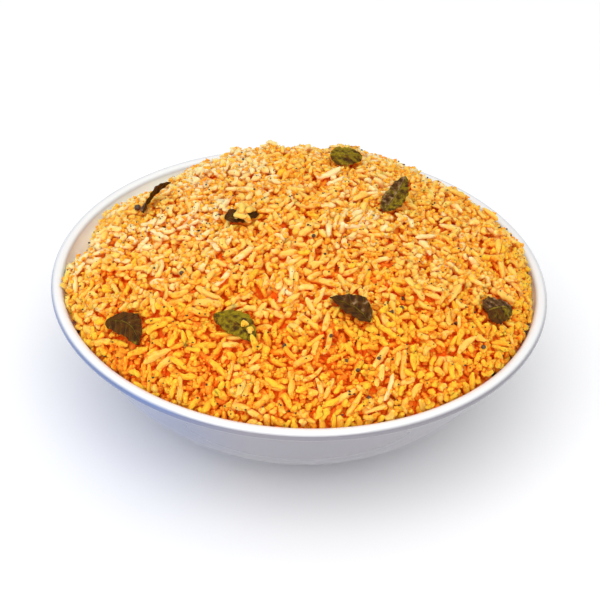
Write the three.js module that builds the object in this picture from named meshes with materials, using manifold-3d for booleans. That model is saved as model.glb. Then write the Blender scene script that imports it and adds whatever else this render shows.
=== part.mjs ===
// A white glazed bowl heaped with spiced ghee rice, fried curry leaves and mustard seeds.
// Millimetres, +Z up. The origin is the centre of the foot ring's flat face, +X is the viewer's
// right and +Y points away from the viewer.

import * as THREE from "three";
import { ConvexHull } from "three/addons/math/ConvexHull.js";
import { mergeVertices } from "three/addons/utils/BufferGeometryUtils.js";
import Module from "manifold-3d";

const wasm = await Module();
wasm.setup();

// ---------------------------------------------------------------- driving dimensions: the bowl
const RIM_RADIUS = 90; // outermost line of the rim bead
const BOWL_HEIGHT = 54;
const WALL = 2.4;
const BEAD_WIDTH = 4.5; // the rim is thickened into a rolled bead
const BEAD_HEIGHT = 4;
const BEAD_OVERHANG = 2.7; // the bead stands out over the wall by this much
const FOOT_RADIUS = 44; // outside of the foot ring
const FOOT_WIDTH = 4;
const FOOT_HEIGHT = 4;
const FOOT_RECESS = 3.2; // depth of the hollow under the foot ring
const FLOOR_LEVEL = 8; // inside floor at the centre
const FLOOR_DISH = 0.35; // the floor rises this much towards the wall
const BOWL_SIDES = 52;

// How far the two middle handles of the wall's curve lie in from the rim and out from the foot.
const UPPER_HANDLE = { inward: 11.7, down: 17 };
const LOWER_HANDLE = { outward: 28.4, up: 13.9 };

// ---------------------------------------------------------------- driving dimensions: the rice
const HEAP_RADIUS = 84; // of the bare dome, before it is fitted to the wall
const HEAP_RISE = 28.2; // from the heap's edge up to its crown
const EDGE_DEPTH = 3; // the rice meets the wall this far below the rim, on average
const EDGE_SWING = 1.0; // and this much more or less around the bowl
const RICE_GAP = 0.45; // clearance between the rice and the bowl
const GRAIN_LENGTH = 7.6;
const GRAIN_WIDTH = 2.4;
const CREST_GAP = 3.4; // least distance between the crests of two grains
const BUMP_HEIGHT = 1.4; // a half buried grain stands this high above the hollows
const HOLLOW_DEPTH = 0.35;
const PROUD_GRAINS = 26; // whole grains lying on top
const PROUD_SPACING = 13;
const PROUD_EDGE = 8; // and this far from the wall
const SEED_RADIUS = 0.95;
const EDGE_SIDES = 88; // corners of the line where the rice meets the wall
const WALL_SIDES = 56; // corners of the widest ring below it
const RANDOM_SEED = 20417;

// Waves of the heap's edge around the bowl: share of the swing, number and phase.
const EDGE_WAVES = [
  { share: 0.55, count: 3, phase: 0.9 },
  { share: 0.45, count: 7, phase: 2.2 },
];

// Slow waves over the dome: height, length per radian both ways, and phases.
const BROAD_WAVES = { height: 0.8, lengths: [13, 17], phases: [1.3, -0.4] };
const SLANT_WAVES = { height: 0.5, lengths: [8, 11], phases: [2, 0] };

// Broad dents in the dome: plan position, depth and radius.
const DENTS = [
  { x: -56, y: 47, depth: 5.6, radius: 21 },
  { x: -36, y: 66, depth: 2.4, radius: 14 },
  { x: -83, y: 14, depth: 4.6, radius: 11 },
  { x: 58, y: 61, depth: 3.0, radius: 17 },
];

// Mustard seeds on top of the rice, as plan positions.
const SEED_SPOTS = [
  [29.9, -41.5], [35.2, -39.2], [34.4, -44.4], [31.0, -46.4], [20.4, -68.6], [16.6, -66.0],
  [24.4, -75.4], [26.9, -64.3], [11.1, -58.8], [-3.9, -62.6], [53.9, -43.0], [53.8, -54.8],
  [62.1, -48.4], [-13.5, 8.2], [4.1, -14.4], [-40.4, -30.9], [12.3, 0.8], [11.2, -19.6],
  [24.6, 8.1], [-57.0, 0.4],
];

// ---------------------------------------------------------------- driving dimensions: the leaves
const LEAF_THICKNESS = 0.4;
const LEAF_CLEARANCE = 3.2; // grains this near a leaf's outline stay low
const LEAF_WAVE = 0.28; // the edges wave up and down by this much
const LEAF_TIP = 0.25; // half the width that is left at either end

// Each fried curry leaf: where its middle lies in plan, the way its tip points, how much it
// climbs towards the tip and leans sideways (degrees), its height above the bare heap, its
// length and width, how far its halves fold up, how much its ends curl, and how far it bends to
// its left as a share of its length.
const LEAVES = [
  {
    x: -52.8, y: 14.2, heading: 62, climb: 12, lean: -42, lift: 5.6,
    length: 18, width: 8, fold: 0.3, curl: -1.5, bend: 0.08,
  },
  {
    x: -21.3, y: -4.2, heading: 18, climb: 0, lean: 6, lift: 2.1,
    length: 12.5, width: 8, fold: 0.15, curl: 0.4, bend: 0.05,
  },
  {
    x: 15.2, y: 44.0, heading: 14, climb: -6, lean: 30, lift: 4.8,
    length: 12.5, width: 9.2, fold: -0.22, curl: -1.2, bend: 0,
  },
  {
    x: 32.2, y: 14.2, heading: 64, climb: 15, lean: 0, lift: 4.6,
    length: 19, width: 8, fold: 0.2, curl: 0.8, bend: -0.03,
  },
  {
    x: -57.8, y: -50.9, heading: -44, climb: -1, lean: -6, lift: 2.2,
    length: 17, width: 9, fold: -0.12, curl: -0.6, bend: 0.2,
  },
  {
    x: -20.4, y: -57.0, heading: -37, climb: -8, lean: 0, lift: 2.2,
    length: 18.5, width: 9.2, fold: -0.25, curl: -0.5, bend: 0.13,
  },
  {
    x: 17.0, y: -48.5, heading: 143, climb: 7, lean: 0, lift: 2.3,
    length: 17.2, width: 9.2, fold: 0.3, curl: 0.9, bend: -0.15,
  },
  {
    x: 68.0, y: -30.6, heading: 39, climb: -17, lean: 0, lift: 3.5,
    length: 13.5, width: 10.5, fold: -0.4, curl: -0.8, bend: 0.05,
  },
];

// ---------------------------------------------------------------- finishes
const GLAZED_WHITE = new THREE.MeshStandardMaterial({ color: 0xe9ecf2, roughness: 0.12, metalness: 0 });
const SPICED_RICE = new THREE.MeshStandardMaterial({ color: 0xf0a63c, roughness: 0.45, metalness: 0 });
const FRIED_LEAF = new THREE.MeshStandardMaterial({ color: 0x55501c, roughness: 0.35, metalness: 0 });

// ---------------------------------------------------------------- helpers
function seededRandom(seed) {
  let state = seed >>> 0;
  return () => {
    state = (state + 0x6d2b79f5) >>> 0;
    let mixed = Math.imul(state ^ (state >>> 15), 1 | state);
    mixed = (mixed + Math.imul(mixed ^ (mixed >>> 7), 61 | mixed)) ^ mixed;
    return ((mixed ^ (mixed >>> 14)) >>> 0) / 4294967296;
  };
}

const random = seededRandom(RANDOM_SEED);

function between(low, high) {
  return low + (high - low) * random();
}

function radians(degrees) {
  return THREE.MathUtils.degToRad(degrees);
}

function sumOf(values) {
  return values.reduce((sum, value) => sum + value, 0);
}

function geometryFrom(points, index) {
  const geometry = new THREE.BufferGeometry();
  geometry.setAttribute("position", new THREE.Float32BufferAttribute(points, 3));
  geometry.setIndex(index);
  geometry.computeVertexNormals();
  return geometry;
}

// The vertices and triangles of a closed geometry, with shared corners merged and the flat
// triangles at poles left out.
function toSolid(geometry) {
  const bare = geometry.clone();
  bare.deleteAttribute("normal");
  bare.deleteAttribute("uv");
  const merged = mergeVertices(bare, 1e-4);
  const corners = merged.index.array;
  const triangles = [];
  for (let start = 0; start < corners.length; start += 3) {
    const [a, b, c] = corners.slice(start, start + 3);
    if (a !== b && b !== c && c !== a) {
      triangles.push(a, b, c);
    }
  }
  const mesh = new wasm.Mesh({
    numProp: 3,
    vertProperties: new Float32Array(merged.attributes.position.array),
    triVerts: new Uint32Array(triangles),
  });
  return new wasm.Manifold(mesh);
}

function fromSolid(solid) {
  const mesh = solid.getMesh();
  return geometryFrom(Array.from(mesh.vertProperties), Array.from(mesh.triVerts));
}

// Fused pieces that don't reach the heap are left out.
function largestPiece(solid) {
  return solid.decompose().reduce((best, piece) => (piece.volume() > best.volume() ? piece : best));
}

// ---------------------------------------------------------------- the bowl
const BEAD_OVERLAP = 0.1; // the wall's curve ends just inside the bead
const FOOT_FLARE = 1.5; // the wall leaves the foot ring this far outside it
const FOOT_FILLET = 3; // and this far above it

const outerWall = new THREE.CubicBezierCurve(
  new THREE.Vector2(RIM_RADIUS - BEAD_OVERHANG, BOWL_HEIGHT - BEAD_HEIGHT + BEAD_OVERLAP),
  new THREE.Vector2(RIM_RADIUS - UPPER_HANDLE.inward, BOWL_HEIGHT - UPPER_HANDLE.down),
  new THREE.Vector2(FOOT_RADIUS + LOWER_HANDLE.outward, FOOT_HEIGHT + LOWER_HANDLE.up),
  new THREE.Vector2(FOOT_RADIUS + FOOT_FLARE, FOOT_HEIGHT + FOOT_FILLET),
);

// A point of the inside of the wall, one wall's thickness in from the outside.
function innerWallPoint(fraction) {
  const point = outerWall.getPointAt(fraction);
  const tangent = outerWall.getTangentAt(fraction);
  return new THREE.Vector2(point.x + WALL * tangent.y, point.y - WALL * tangent.x);
}

function profileOf(pointAt, steps) {
  return Array.from({ length: steps + 1 }, (_, step) => pointAt(step / steps));
}

// The rolled bead, from under its overhang around the top to the inside of the wall.
function beadProfile(steps) {
  const underside = radians(-78);
  const inside = radians(178);
  const bead = new THREE.EllipseCurve(
    RIM_RADIUS - BEAD_WIDTH / 2,
    BOWL_HEIGHT - BEAD_HEIGHT / 2,
    BEAD_WIDTH / 2,
    BEAD_HEIGHT / 2,
    underside,
    inside,
  );
  return bead.getPoints(steps);
}

// The inside of the bowl from the rim down to the centre of the floor.
const innerProfile = [
  ...profileOf(innerWallPoint, 6),
  new THREE.Vector2(0.55 * FOOT_RADIUS, FLOOR_LEVEL + FLOOR_DISH),
  new THREE.Vector2(0, FLOOR_LEVEL),
];

// The underside: a shallow recess inside a foot ring with softened edges.
function footProfile() {
  const ringInside = FOOT_RADIUS - FOOT_WIDTH;
  const recessFillet = 1.2;
  const softening = 0.8;
  return [
    new THREE.Vector2(0, FOOT_RECESS),
    new THREE.Vector2(ringInside - recessFillet, FOOT_RECESS),
    new THREE.Vector2(ringInside, softening),
    new THREE.Vector2(ringInside + softening, 0),
    new THREE.Vector2(FOOT_RADIUS - softening, 0),
    new THREE.Vector2(FOOT_RADIUS, softening),
    new THREE.Vector2(FOOT_RADIUS, FOOT_HEIGHT),
  ];
}

function bowlGeometry() {
  const profile = [
    ...footProfile(),
    ...profileOf((fraction) => outerWall.getPointAt(1 - fraction), 5),
    ...beadProfile(6),
    ...innerProfile,
  ];
  return new THREE.LatheGeometry(profile, BOWL_SIDES).rotateX(radians(90));
}

// ---------------------------------------------------------------- the heap of rice
// The bare heap is a dome: this curve is its section, from the crown to the edge. Its handles
// keep the crown level and the edge steep.
const domeSection = new THREE.CubicBezierCurve(
  new THREE.Vector2(0, HEAP_RISE),
  new THREE.Vector2(0.52 * HEAP_RADIUS, HEAP_RISE),
  new THREE.Vector2(0.92 * HEAP_RADIUS, 0.55 * HEAP_RISE),
  new THREE.Vector2(HEAP_RADIUS, 0),
);
const DOME_ARC = domeSection.getLength();

function dentDepth(x, y) {
  const depths = DENTS.map((dent) => {
    const distance = Math.hypot(x - dent.x, y - dent.y) / dent.radius;
    return dent.depth * Math.exp(-distance * distance);
  });
  return sumOf(depths);
}

// How far the heap's edge lies below its average level, all around, before any dent.
function edgeSag(turn) {
  return EDGE_SWING * sumOf(EDGE_WAVES.map((wave) => wave.share * Math.sin(wave.count * turn + wave.phase)));
}

// How high the rice reaches on the wall.
function edgeLevel(turn) {
  const dent = dentDepth(HEAP_RADIUS * Math.cos(turn), HEAP_RADIUS * Math.sin(turn));
  return BOWL_HEIGHT - EDGE_DEPTH - edgeSag(turn) - dent;
}

// Radius of the inside of the bowl at a level, less the clearance.
function wallRadiusAt(level) {
  for (let index = 1; index < innerProfile.length; index += 1) {
    const above = innerProfile[index - 1];
    const below = innerProfile[index];
    if (level >= below.y) {
      const share = Math.min(1, (level - below.y) / (above.y - below.y));
      return below.x + (above.x - below.x) * share - RICE_GAP;
    }
  }
  return 0;
}

function waveAt({ height, lengths, phases }, first, second) {
  return height * Math.sin(first / lengths[0] + phases[0]) * Math.cos(second / lengths[1] + phases[1]);
}

function waves(x, y) {
  return waveAt(BROAD_WAVES, x, y) + waveAt(SLANT_WAVES, x + y, x - y);
}

// A place on the heap from flat coordinates: across and along are measured over the dome's
// skin from its crown, and height stands off square to the skin.
function onHeap(across, along, height) {
  const distance = Math.hypot(across, along);
  const turn = Math.atan2(along, across);
  const share = Math.min(1, distance / DOME_ARC);
  const section = domeSection.getPointAt(share);
  const tangent = domeSection.getTangentAt(share);
  const radius = (section.x * wallRadiusAt(edgeLevel(turn))) / HEAP_RADIUS;
  const calmEdge = 10;
  const fromEdge = THREE.MathUtils.smoothstep(DOME_ARC - distance, 0, calmEdge);
  const sink = share * share * edgeSag(turn);
  const x = radius * Math.cos(turn);
  const y = radius * Math.sin(turn);
  const z = BOWL_HEIGHT - EDGE_DEPTH + section.y - sink - dentDepth(x, y) + fromEdge * waves(x, y);
  const outward = -tangent.y * height;
  return new THREE.Vector3(
    x + outward * Math.cos(turn),
    y + outward * Math.sin(turn),
    z + tangent.x * height,
  );
}

// Flat coordinates of the skin straight below a plan position, by halving the distance.
function flatFromPlan(x, y) {
  const wanted = Math.hypot(x, y);
  const turn = Math.atan2(y, x);
  const halvings = 24;
  let near = 0;
  let far = DOME_ARC;
  for (let step = 0; step < halvings; step += 1) {
    const middle = (near + far) / 2;
    const place = onHeap(middle * Math.cos(turn), middle * Math.sin(turn), 0);
    if (Math.hypot(place.x, place.y) < wanted) {
      near = middle;
    } else {
      far = middle;
    }
  }
  return new THREE.Vector2(near * Math.cos(turn), near * Math.sin(turn));
}

function heapNormal(spot) {
  return onHeap(spot.x, spot.y, 1).sub(onHeap(spot.x, spot.y, 0)).normalize();
}

// A leaf's frame: its origin above the heap, x along the leaf, y across it, z out of its face.
function leafFrame(leaf) {
  const spot = flatFromPlan(leaf.x, leaf.y);
  const normal = heapNormal(spot);
  const heading = radians(leaf.heading);
  const climb = radians(leaf.climb);
  const length = new THREE.Vector3(
    Math.cos(heading) * Math.cos(climb),
    Math.sin(heading) * Math.cos(climb),
    Math.sin(climb),
  );
  const cross = new THREE.Vector3().crossVectors(normal, length).normalize();
  cross.applyAxisAngle(length, radians(leaf.lean));
  const face = new THREE.Vector3().crossVectors(length, cross);
  const origin = onHeap(spot.x, spot.y, 0).addScaledVector(normal, leaf.lift);
  return new THREE.Matrix4().makeBasis(length, cross, face).setPosition(origin);
}

// How far a place is outside the nearest leaf's outline, as seen from above.
function outsideLeaves(place) {
  let nearest = Infinity;
  for (const leaf of LEAVES) {
    const middle = new THREE.Vector2(leaf.x, leaf.y);
    const local = new THREE.Vector2(place.x, place.y).sub(middle);
    local.rotateAround(new THREE.Vector2(), -radians(leaf.heading));
    const reach = Math.hypot(local.x / (leaf.length / 2), local.y / (leaf.width / 2));
    nearest = Math.min(nearest, (reach - 1) * (leaf.width / 2));
  }
  return nearest;
}

// How much of its full height a grain keeps: none of it under a leaf or against the wall.
function standing(across, along) {
  const lowEdge = 5;
  const place = onHeap(across, along, 0);
  const clearOfLeaves = THREE.MathUtils.smoothstep(outsideLeaves(place), 0, LEAF_CLEARANCE);
  const clearOfWall = THREE.MathUtils.smoothstep(DOME_ARC - Math.hypot(across, along), 0, lowEdge);
  return clearOfLeaves * clearOfWall;
}

// Points of the heap's skin. Each has its real place, and a place on a reference ball, whose
// convex hull says which points join up: the dome is its upper part, the wall its lower part.
const DOME_ANGLE = radians(62);
const WOBBLE = 1e-4; // keeps any four points of the ball off one plane

class Skin {
  constructor() {
    this.reference = [];
    this.places = [];
  }

  add(polar, turn, place) {
    const wobble = WOBBLE * random();
    const point = new THREE.Vector3().setFromSphericalCoords(1, polar + wobble, turn + wobble);
    this.reference.push(new THREE.Vector3(point.z, point.x, point.y));
    this.places.push(place);
  }

  addOnDome(across, along, height) {
    const polar = (Math.hypot(across, along) / DOME_ARC) * DOME_ANGLE;
    this.add(polar, Math.atan2(along, across), onHeap(across, along, height));
  }

  geometry() {
    const order = new Map(this.reference.map((point, index) => [point, index]));
    const hull = new ConvexHull().setFromPoints(this.reference);
    const index = [];
    for (const face of hull.faces) {
      let edge = face.edge;
      do {
        index.push(order.get(edge.head().point));
        edge = edge.next;
      } while (edge !== face.edge);
    }
    return geometryFrom(this.places.flatMap((place) => place.toArray()), index);
  }
}

// A random place on the dome's skin, at least so far from the wall.
function randomSpot(fromWall) {
  const distance = (DOME_ARC - fromWall) * Math.sqrt(random());
  const turn = 2 * Math.PI * random();
  return new THREE.Vector2(distance * Math.cos(turn), distance * Math.sin(turn));
}

function clearOf(points, others, gap) {
  const reach = gap + 0.6 * GRAIN_LENGTH;
  if (Math.abs(points[0].x - others[0].x) > reach || Math.abs(points[0].y - others[0].y) > reach) {
    return true;
  }
  return points.every((point) => others.every((other) => point.distanceTo(other) >= gap));
}

// Grains scattered over the skin until no more fit: each is a short crest with two ends.
function scatterCrests() {
  const crests = [];
  const tries = 42000;
  const middleFromWall = 2.6;
  const endFromWall = 1.8;
  for (let attempt = 0; attempt < tries; attempt += 1) {
    const middle = randomSpot(middleFromWall);
    const heading = Math.PI * random();
    const half = between(0.2, 0.3) * GRAIN_LENGTH;
    const arm = new THREE.Vector2(half * Math.cos(heading), half * Math.sin(heading));
    const ends = [middle.clone().sub(arm), middle, middle.clone().add(arm)];
    const inside = ends.every((end) => end.length() < DOME_ARC - endFromWall);
    if (inside && crests.every((other) => clearOf(ends, other, CREST_GAP))) {
      crests.push(ends);
    }
  }
  return crests;
}

// Hollows between the grains: points kept clear of every crest and of each other.
function scatterHollows(crests) {
  const hollows = [];
  const tries = 30000;
  const fromWall = 1.6;
  const fromCrest = 0.56 * CREST_GAP;
  const fromHollow = 0.72 * CREST_GAP;
  for (let attempt = 0; attempt < tries; attempt += 1) {
    const spot = [randomSpot(fromWall)];
    const clearOfCrests = crests.every((crest) => clearOf(spot, crest, fromCrest));
    if (clearOfCrests && hollows.every((other) => clearOf(spot, other, fromHollow))) {
      hollows.push(spot);
    }
  }
  return hollows;
}

function addDome(skin) {
  const crests = scatterCrests();
  for (const [start, , end] of crests) {
    for (const tip of [start, end]) {
      const height = BUMP_HEIGHT * between(0.6, 1.35) * standing(tip.x, tip.y);
      skin.addOnDome(tip.x, tip.y, height);
    }
  }
  for (const [spot] of scatterHollows(crests)) {
    skin.addOnDome(spot.x, spot.y, -HOLLOW_DEPTH * random());
  }
}

function addWall(skin) {
  for (let side = 0; side < EDGE_SIDES; side += 1) {
    const turn = (2 * Math.PI * side) / EDGE_SIDES;
    skin.addOnDome(DOME_ARC * Math.cos(turn), DOME_ARC * Math.sin(turn), 0);
  }
  const rings = innerProfile.slice(1, -1);
  rings.forEach((ring, order) => {
    const polar = DOME_ANGLE + ((Math.PI - DOME_ANGLE) * (order + 1)) / (rings.length + 1);
    const radius = ring.x - RICE_GAP;
    const sides = Math.round((WALL_SIDES * ring.x) / RIM_RADIUS);
    for (let side = 0; side < sides; side += 1) {
      const turn = (2 * Math.PI * (side + 0.5)) / sides;
      const place = new THREE.Vector3(radius * Math.cos(turn), radius * Math.sin(turn), ring.y + RICE_GAP);
      skin.add(polar, turn, place);
    }
  });
  const lowestPolar = Math.PI - 1e-3;
  skin.add(lowestPolar, 0, new THREE.Vector3(0, 0, FLOOR_LEVEL + RICE_GAP));
}

// A whole grain of rice as a spindle with few sides, lying along x.
function grainGeometry(length) {
  const radius = GRAIN_WIDTH / 2;
  const half = length / 2;
  const sides = 5;
  const profile = [
    new THREE.Vector2(0, -half),
    new THREE.Vector2(0.85 * radius, -0.62 * half),
    new THREE.Vector2(radius, 0.1 * half),
    new THREE.Vector2(0.7 * radius, 0.72 * half),
    new THREE.Vector2(0, half),
  ];
  return new THREE.LatheGeometry(profile, sides).rotateZ(radians(-90));
}

// Spots for whole grains: evenly spread, away from the leaves and the wall.
function proudSpots() {
  const spots = [];
  const tries = 4000;
  for (let attempt = 0; attempt < tries && spots.length < PROUD_GRAINS; attempt += 1) {
    const spot = randomSpot(PROUD_EDGE);
    const free = outsideLeaves(onHeap(spot.x, spot.y, 0)) > LEAF_CLEARANCE + 0.5 * GRAIN_LENGTH;
    if (free && spots.every((other) => other.distanceTo(spot) > PROUD_SPACING)) {
      spots.push(spot);
    }
  }
  return spots;
}

function proudGrain(spot) {
  const normal = heapNormal(spot);
  const steepest = 16;
  const grain = grainGeometry(GRAIN_LENGTH * between(0.85, 1.2));
  grain.rotateY(radians(between(-steepest, steepest)));
  grain.rotateZ(2 * Math.PI * random());
  grain.applyQuaternion(new THREE.Quaternion().setFromUnitVectors(new THREE.Vector3(0, 0, 1), normal));
  const middle = onHeap(spot.x, spot.y, 1.1 * BUMP_HEIGHT);
  return grain.translate(middle.x, middle.y, middle.z);
}

function mustardSeed([x, y]) {
  const spot = flatFromPlan(x, y);
  const middle = onHeap(spot.x, spot.y, 0.95 * BUMP_HEIGHT);
  return new THREE.IcosahedronGeometry(SEED_RADIUS, 0).translate(middle.x, middle.y, middle.z);
}

function heapGeometry() {
  const skin = new Skin();
  addDome(skin);
  addWall(skin);
  let heap = toSolid(skin.geometry());
  for (const spot of proudSpots()) {
    heap = heap.add(toSolid(proudGrain(spot)));
  }
  for (const spot of SEED_SPOTS) {
    heap = heap.add(toSolid(mustardSeed(spot)));
  }
  return fromSolid(largestPiece(heap));
}

// ---------------------------------------------------------------- the curry leaves
const LEAF_ROWS = 8;
const LEAF_COLUMNS = 4;

// A point of the leaf's middle surface, in the leaf's own frame. The leaf is widest before its
// middle, runs out to a point, folds along the midrib, curls at both ends and waves at its edges.
function leafPoint(leaf, along, across) {
  const breadth = Math.sin(Math.PI * along ** 0.82) ** 0.8;
  const half = Math.max(LEAF_TIP, 0.5 * leaf.width * breadth);
  const bend = leaf.bend * leaf.length * Math.sin(Math.PI * along);
  const side = Math.abs(across);
  const wave = LEAF_WAVE * side * Math.sin(2.5 * Math.PI * along + (across > 0 ? 0.6 : 2.1));
  const fold = leaf.fold * side * half;
  const curl = leaf.curl * (2 * along - 1) ** 2;
  return new THREE.Vector3((along - 0.5) * leaf.length, bend + across * half, fold + curl + wave);
}

// A thin solid whose upper and lower faces share one pattern of triangles.
function leafGeometry(leaf) {
  const points = [];
  const index = [];
  const width = LEAF_COLUMNS + 1;
  const layer = (LEAF_ROWS + 1) * width;
  for (const side of [0.5, -0.5]) {
    for (let row = 0; row <= LEAF_ROWS; row += 1) {
      for (let column = 0; column < width; column += 1) {
        const point = leafPoint(leaf, row / LEAF_ROWS, (2 * column) / LEAF_COLUMNS - 1);
        point.z += side * LEAF_THICKNESS;
        points.push(...point.toArray());
      }
    }
  }
  for (let row = 0; row < LEAF_ROWS; row += 1) {
    for (let column = 0; column < LEAF_COLUMNS; column += 1) {
      const a = row * width + column;
      const [b, c, d] = [a + width, a + width + 1, a + 1];
      index.push(a, b, c, a, c, d);
      index.push(layer + a, layer + c, layer + b, layer + a, layer + d, layer + c);
    }
  }
  const outline = leafOutline(width);
  outline.forEach((corner, order) => {
    const next = outline[(order + 1) % outline.length];
    index.push(corner, layer + corner, layer + next, corner, layer + next, next);
  });
  return geometryFrom(points, index);
}

// The upper face's border vertices, one after the other the way round that faces outwards.
function leafOutline(width) {
  const border = [];
  for (let row = 0; row < LEAF_ROWS; row += 1) {
    border.push(row * width);
  }
  for (let column = 0; column < LEAF_COLUMNS; column += 1) {
    border.push(LEAF_ROWS * width + column);
  }
  for (let row = LEAF_ROWS; row > 0; row -= 1) {
    border.push(row * width + LEAF_COLUMNS);
  }
  for (let column = LEAF_COLUMNS; column > 0; column -= 1) {
    border.push(column);
  }
  return border;
}

// ---------------------------------------------------------------- assembly
function named(name, geometry, material) {
  const mesh = new THREE.Mesh(geometry, material);
  mesh.name = name;
  return mesh;
}

const dish = new THREE.Group();
dish.add(named("bowl", bowlGeometry(), GLAZED_WHITE));
dish.add(named("rice_heap", heapGeometry(), SPICED_RICE));
LEAVES.forEach((leaf, order) => {
  const mesh = named(`curry_leaf_${order + 1}`, leafGeometry(leaf), FRIED_LEAF);
  mesh.applyMatrix4(leafFrame(leaf));
  dish.add(mesh);
});

export default dish;
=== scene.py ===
"""Looks for a bowl of spiced ghee rice: a glazed bowl, a heap of long grains dropped one by one on
a bare dome, curry leaves, mustard seeds and spice. Shapes are worked out in millimetres, in the
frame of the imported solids, and every mesh is made in metres."""

import math
from functools import lru_cache

import bmesh
import bpy
import numpy as np
from bpy.props import FloatProperty, FloatVectorProperty, IntProperty, PointerProperty
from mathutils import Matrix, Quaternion, Vector


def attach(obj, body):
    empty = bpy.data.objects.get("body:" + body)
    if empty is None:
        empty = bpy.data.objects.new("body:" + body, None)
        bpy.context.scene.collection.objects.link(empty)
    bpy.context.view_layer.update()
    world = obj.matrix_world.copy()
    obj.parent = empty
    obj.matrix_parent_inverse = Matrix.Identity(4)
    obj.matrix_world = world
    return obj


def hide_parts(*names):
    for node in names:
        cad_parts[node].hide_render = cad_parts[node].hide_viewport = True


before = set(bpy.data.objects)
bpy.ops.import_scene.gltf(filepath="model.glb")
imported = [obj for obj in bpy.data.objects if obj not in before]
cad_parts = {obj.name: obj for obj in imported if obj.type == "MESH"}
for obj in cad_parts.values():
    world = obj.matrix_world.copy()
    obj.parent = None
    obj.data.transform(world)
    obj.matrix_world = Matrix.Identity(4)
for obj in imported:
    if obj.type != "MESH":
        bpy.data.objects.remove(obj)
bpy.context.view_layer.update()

bl_info = {
    "name": "Spiced ghee rice in a bowl",
    "version": (1, 0, 0),
    "blender": (4, 5, 0),
    "location": "3D View > Sidebar > Ghee Rice",
    "description": "Builds a glazed bowl heaped with spiced ghee rice and fried curry leaves",
    "category": "Object",
}

MM = 0.001
TINY = 1e-6
ROOT = "root"
RANDOM_SEED = 20417

# ---------------------------------------------------------------- the bowl, in millimetres
RIM_RADIUS = 90.0
BOWL_HEIGHT = 54.0
WALL = 2.4
BEAD_WIDTH = 4.5
BEAD_HEIGHT = 4.0
BEAD_OVERHANG = 2.7
BEAD_LAP = 0.1  # the wall reaches this far up into the bead
BEAD_START = -78.0  # degrees around the bead, from under its overhang
BEAD_END = 178.0  # to the inside of the wall
FOOT_RADIUS = 44.0
FOOT_WIDTH = 4.0
FOOT_HEIGHT = 4.0
FOOT_RECESS = 3.2
FOOT_FLARE = 1.5
FOOT_FILLET = 3.0
FOOT_TAPER = 0.6  # the recess narrows by this much upwards
FOOT_NECK = (0.1, 0.6)  # out from the foot ring and up from its top
FOOT_ROUNDING = 0.8
FLOOR_LEVEL = 8.0
FLOOR_FLAT = 20.0  # radius of the flat middle of the floor
UPPER_HANDLE = (11.7, 17.0)  # in from the rim, down from it
LOWER_HANDLE = (28.4, 13.9)  # out from the foot, up from it
WALL_RINGS = 28  # rings of the mesh down each side of the wall
BEAD_RINGS = 26
FLOOR_RINGS = 10
BEAD_BLEND = 9  # rings of the bead from the outside's glaze to the painted cool tint inside

# ---------------------------------------------------------------- the heap, in millimetres
HEAP_RADIUS = 84.0
HEAP_RISE = 28.2
DOME_SHOULDERS = ((0.52, 1.0), (0.92, 0.55))  # of the dome's curve, as shares of radius and rise
EDGE_DEPTH = 3.0
EDGE_SWING = 1.0
EDGE_WAVES = ((0.55, 3, 0.9), (0.45, 7, 2.2))  # share, number around the bowl, phase
BROAD_WAVES = (0.8, (13.0, 17.0), (1.3, -0.4))  # height, lengths per radian, phases
SLANT_WAVES = (0.5, (8.0, 11.0), (2.0, 0.0))
CALM_EDGE = 10.0  # the waves fade out this far from the wall
DENTS = ((-56, 47, 5.6, 21), (-36, 66, 2.4, 14), (-83, 14, 4.6, 11), (58, 61, 3.0, 17))
BED_DEPTH = 3.3  # the bed lies this far under the bare dome
CELL = 0.4  # width of a cell of the height field
RELIEF_COUNT = 330  # clumps and hollows
RELIEF_MARGIN = 5.0  # their middles stay this far from the wall
RELIEF_FADE = (-1.0, 8.0)  # distances from the wall between which the relief fades in
CLUMP_SHARE = 0.45
CLUMP_HEIGHTS = (0.7, 2.0)
HOLLOW_DEPTHS = (1.1, 3.1)
CLUMP_RADII = (3.0, 5.5)
HOLLOW_RADII = (1.9, 3.9)
# Clumps and hollows that the picture shows: plan position, height and radius.
NAMED_SPOTS = (
    (-15.0, 66.0, 2.2, 6.0), (1.0, 70.0, -1.3, 4.5), (24.0, 66.0, -1.5, 4.5),
    (0.0, 62.0, -0.7, 45.0), (-79.0, 20.0, -2.6, 12.0), (-80.0, 7.0, -3.0, 9.0),
    (-40.0, 55.0, 1.0, 9.0), (-58.0, 50.0, -1.4, 7.0), (-40.0, 62.0, 0.2, 7.0),
    (51.0, 60.0, -1.2, 7.0), (73.0, 38.0, -1.6, 7.0), (78.0, 15.0, 1.4, 8.0),
    (-52.8, 14.2, 1.6, 5.0),
)
# Grains that lie on the leaves or stand out at the edge: plan position, heading in degrees,
# half length, and how far they are lifted.
PLACED_GRAINS = (
    (-22.4, -3.4, 74, 3.3, 0.0), (-19.6, -5.6, 112, 3.6, 0.0), (-20.6, -1.2, 24, 3.0, 0.0),
    (-18.0, -3.2, 58, 3.0, 0.0), (-21.4, -7.0, -18, 2.6, 0.0), (-21.0, -4.4, 95, 2.4, 0.0),
    (-13.8, -62.6, 104, 3.0, 0.0), (-17.2, -56.4, 20, 1.4, 0.0), (-15.0, -58.6, 70, 1.3, 0.0),
    (65.5, 51.5, 150, 3.4, 0.3), (-15.5, 66.5, 60, 3.6, 0.0), (-13.0, 65.0, 130, 3.2, 0.0),
)
LEAF_REST = 6.5  # the heap is even this far around a leaf's middle

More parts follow.
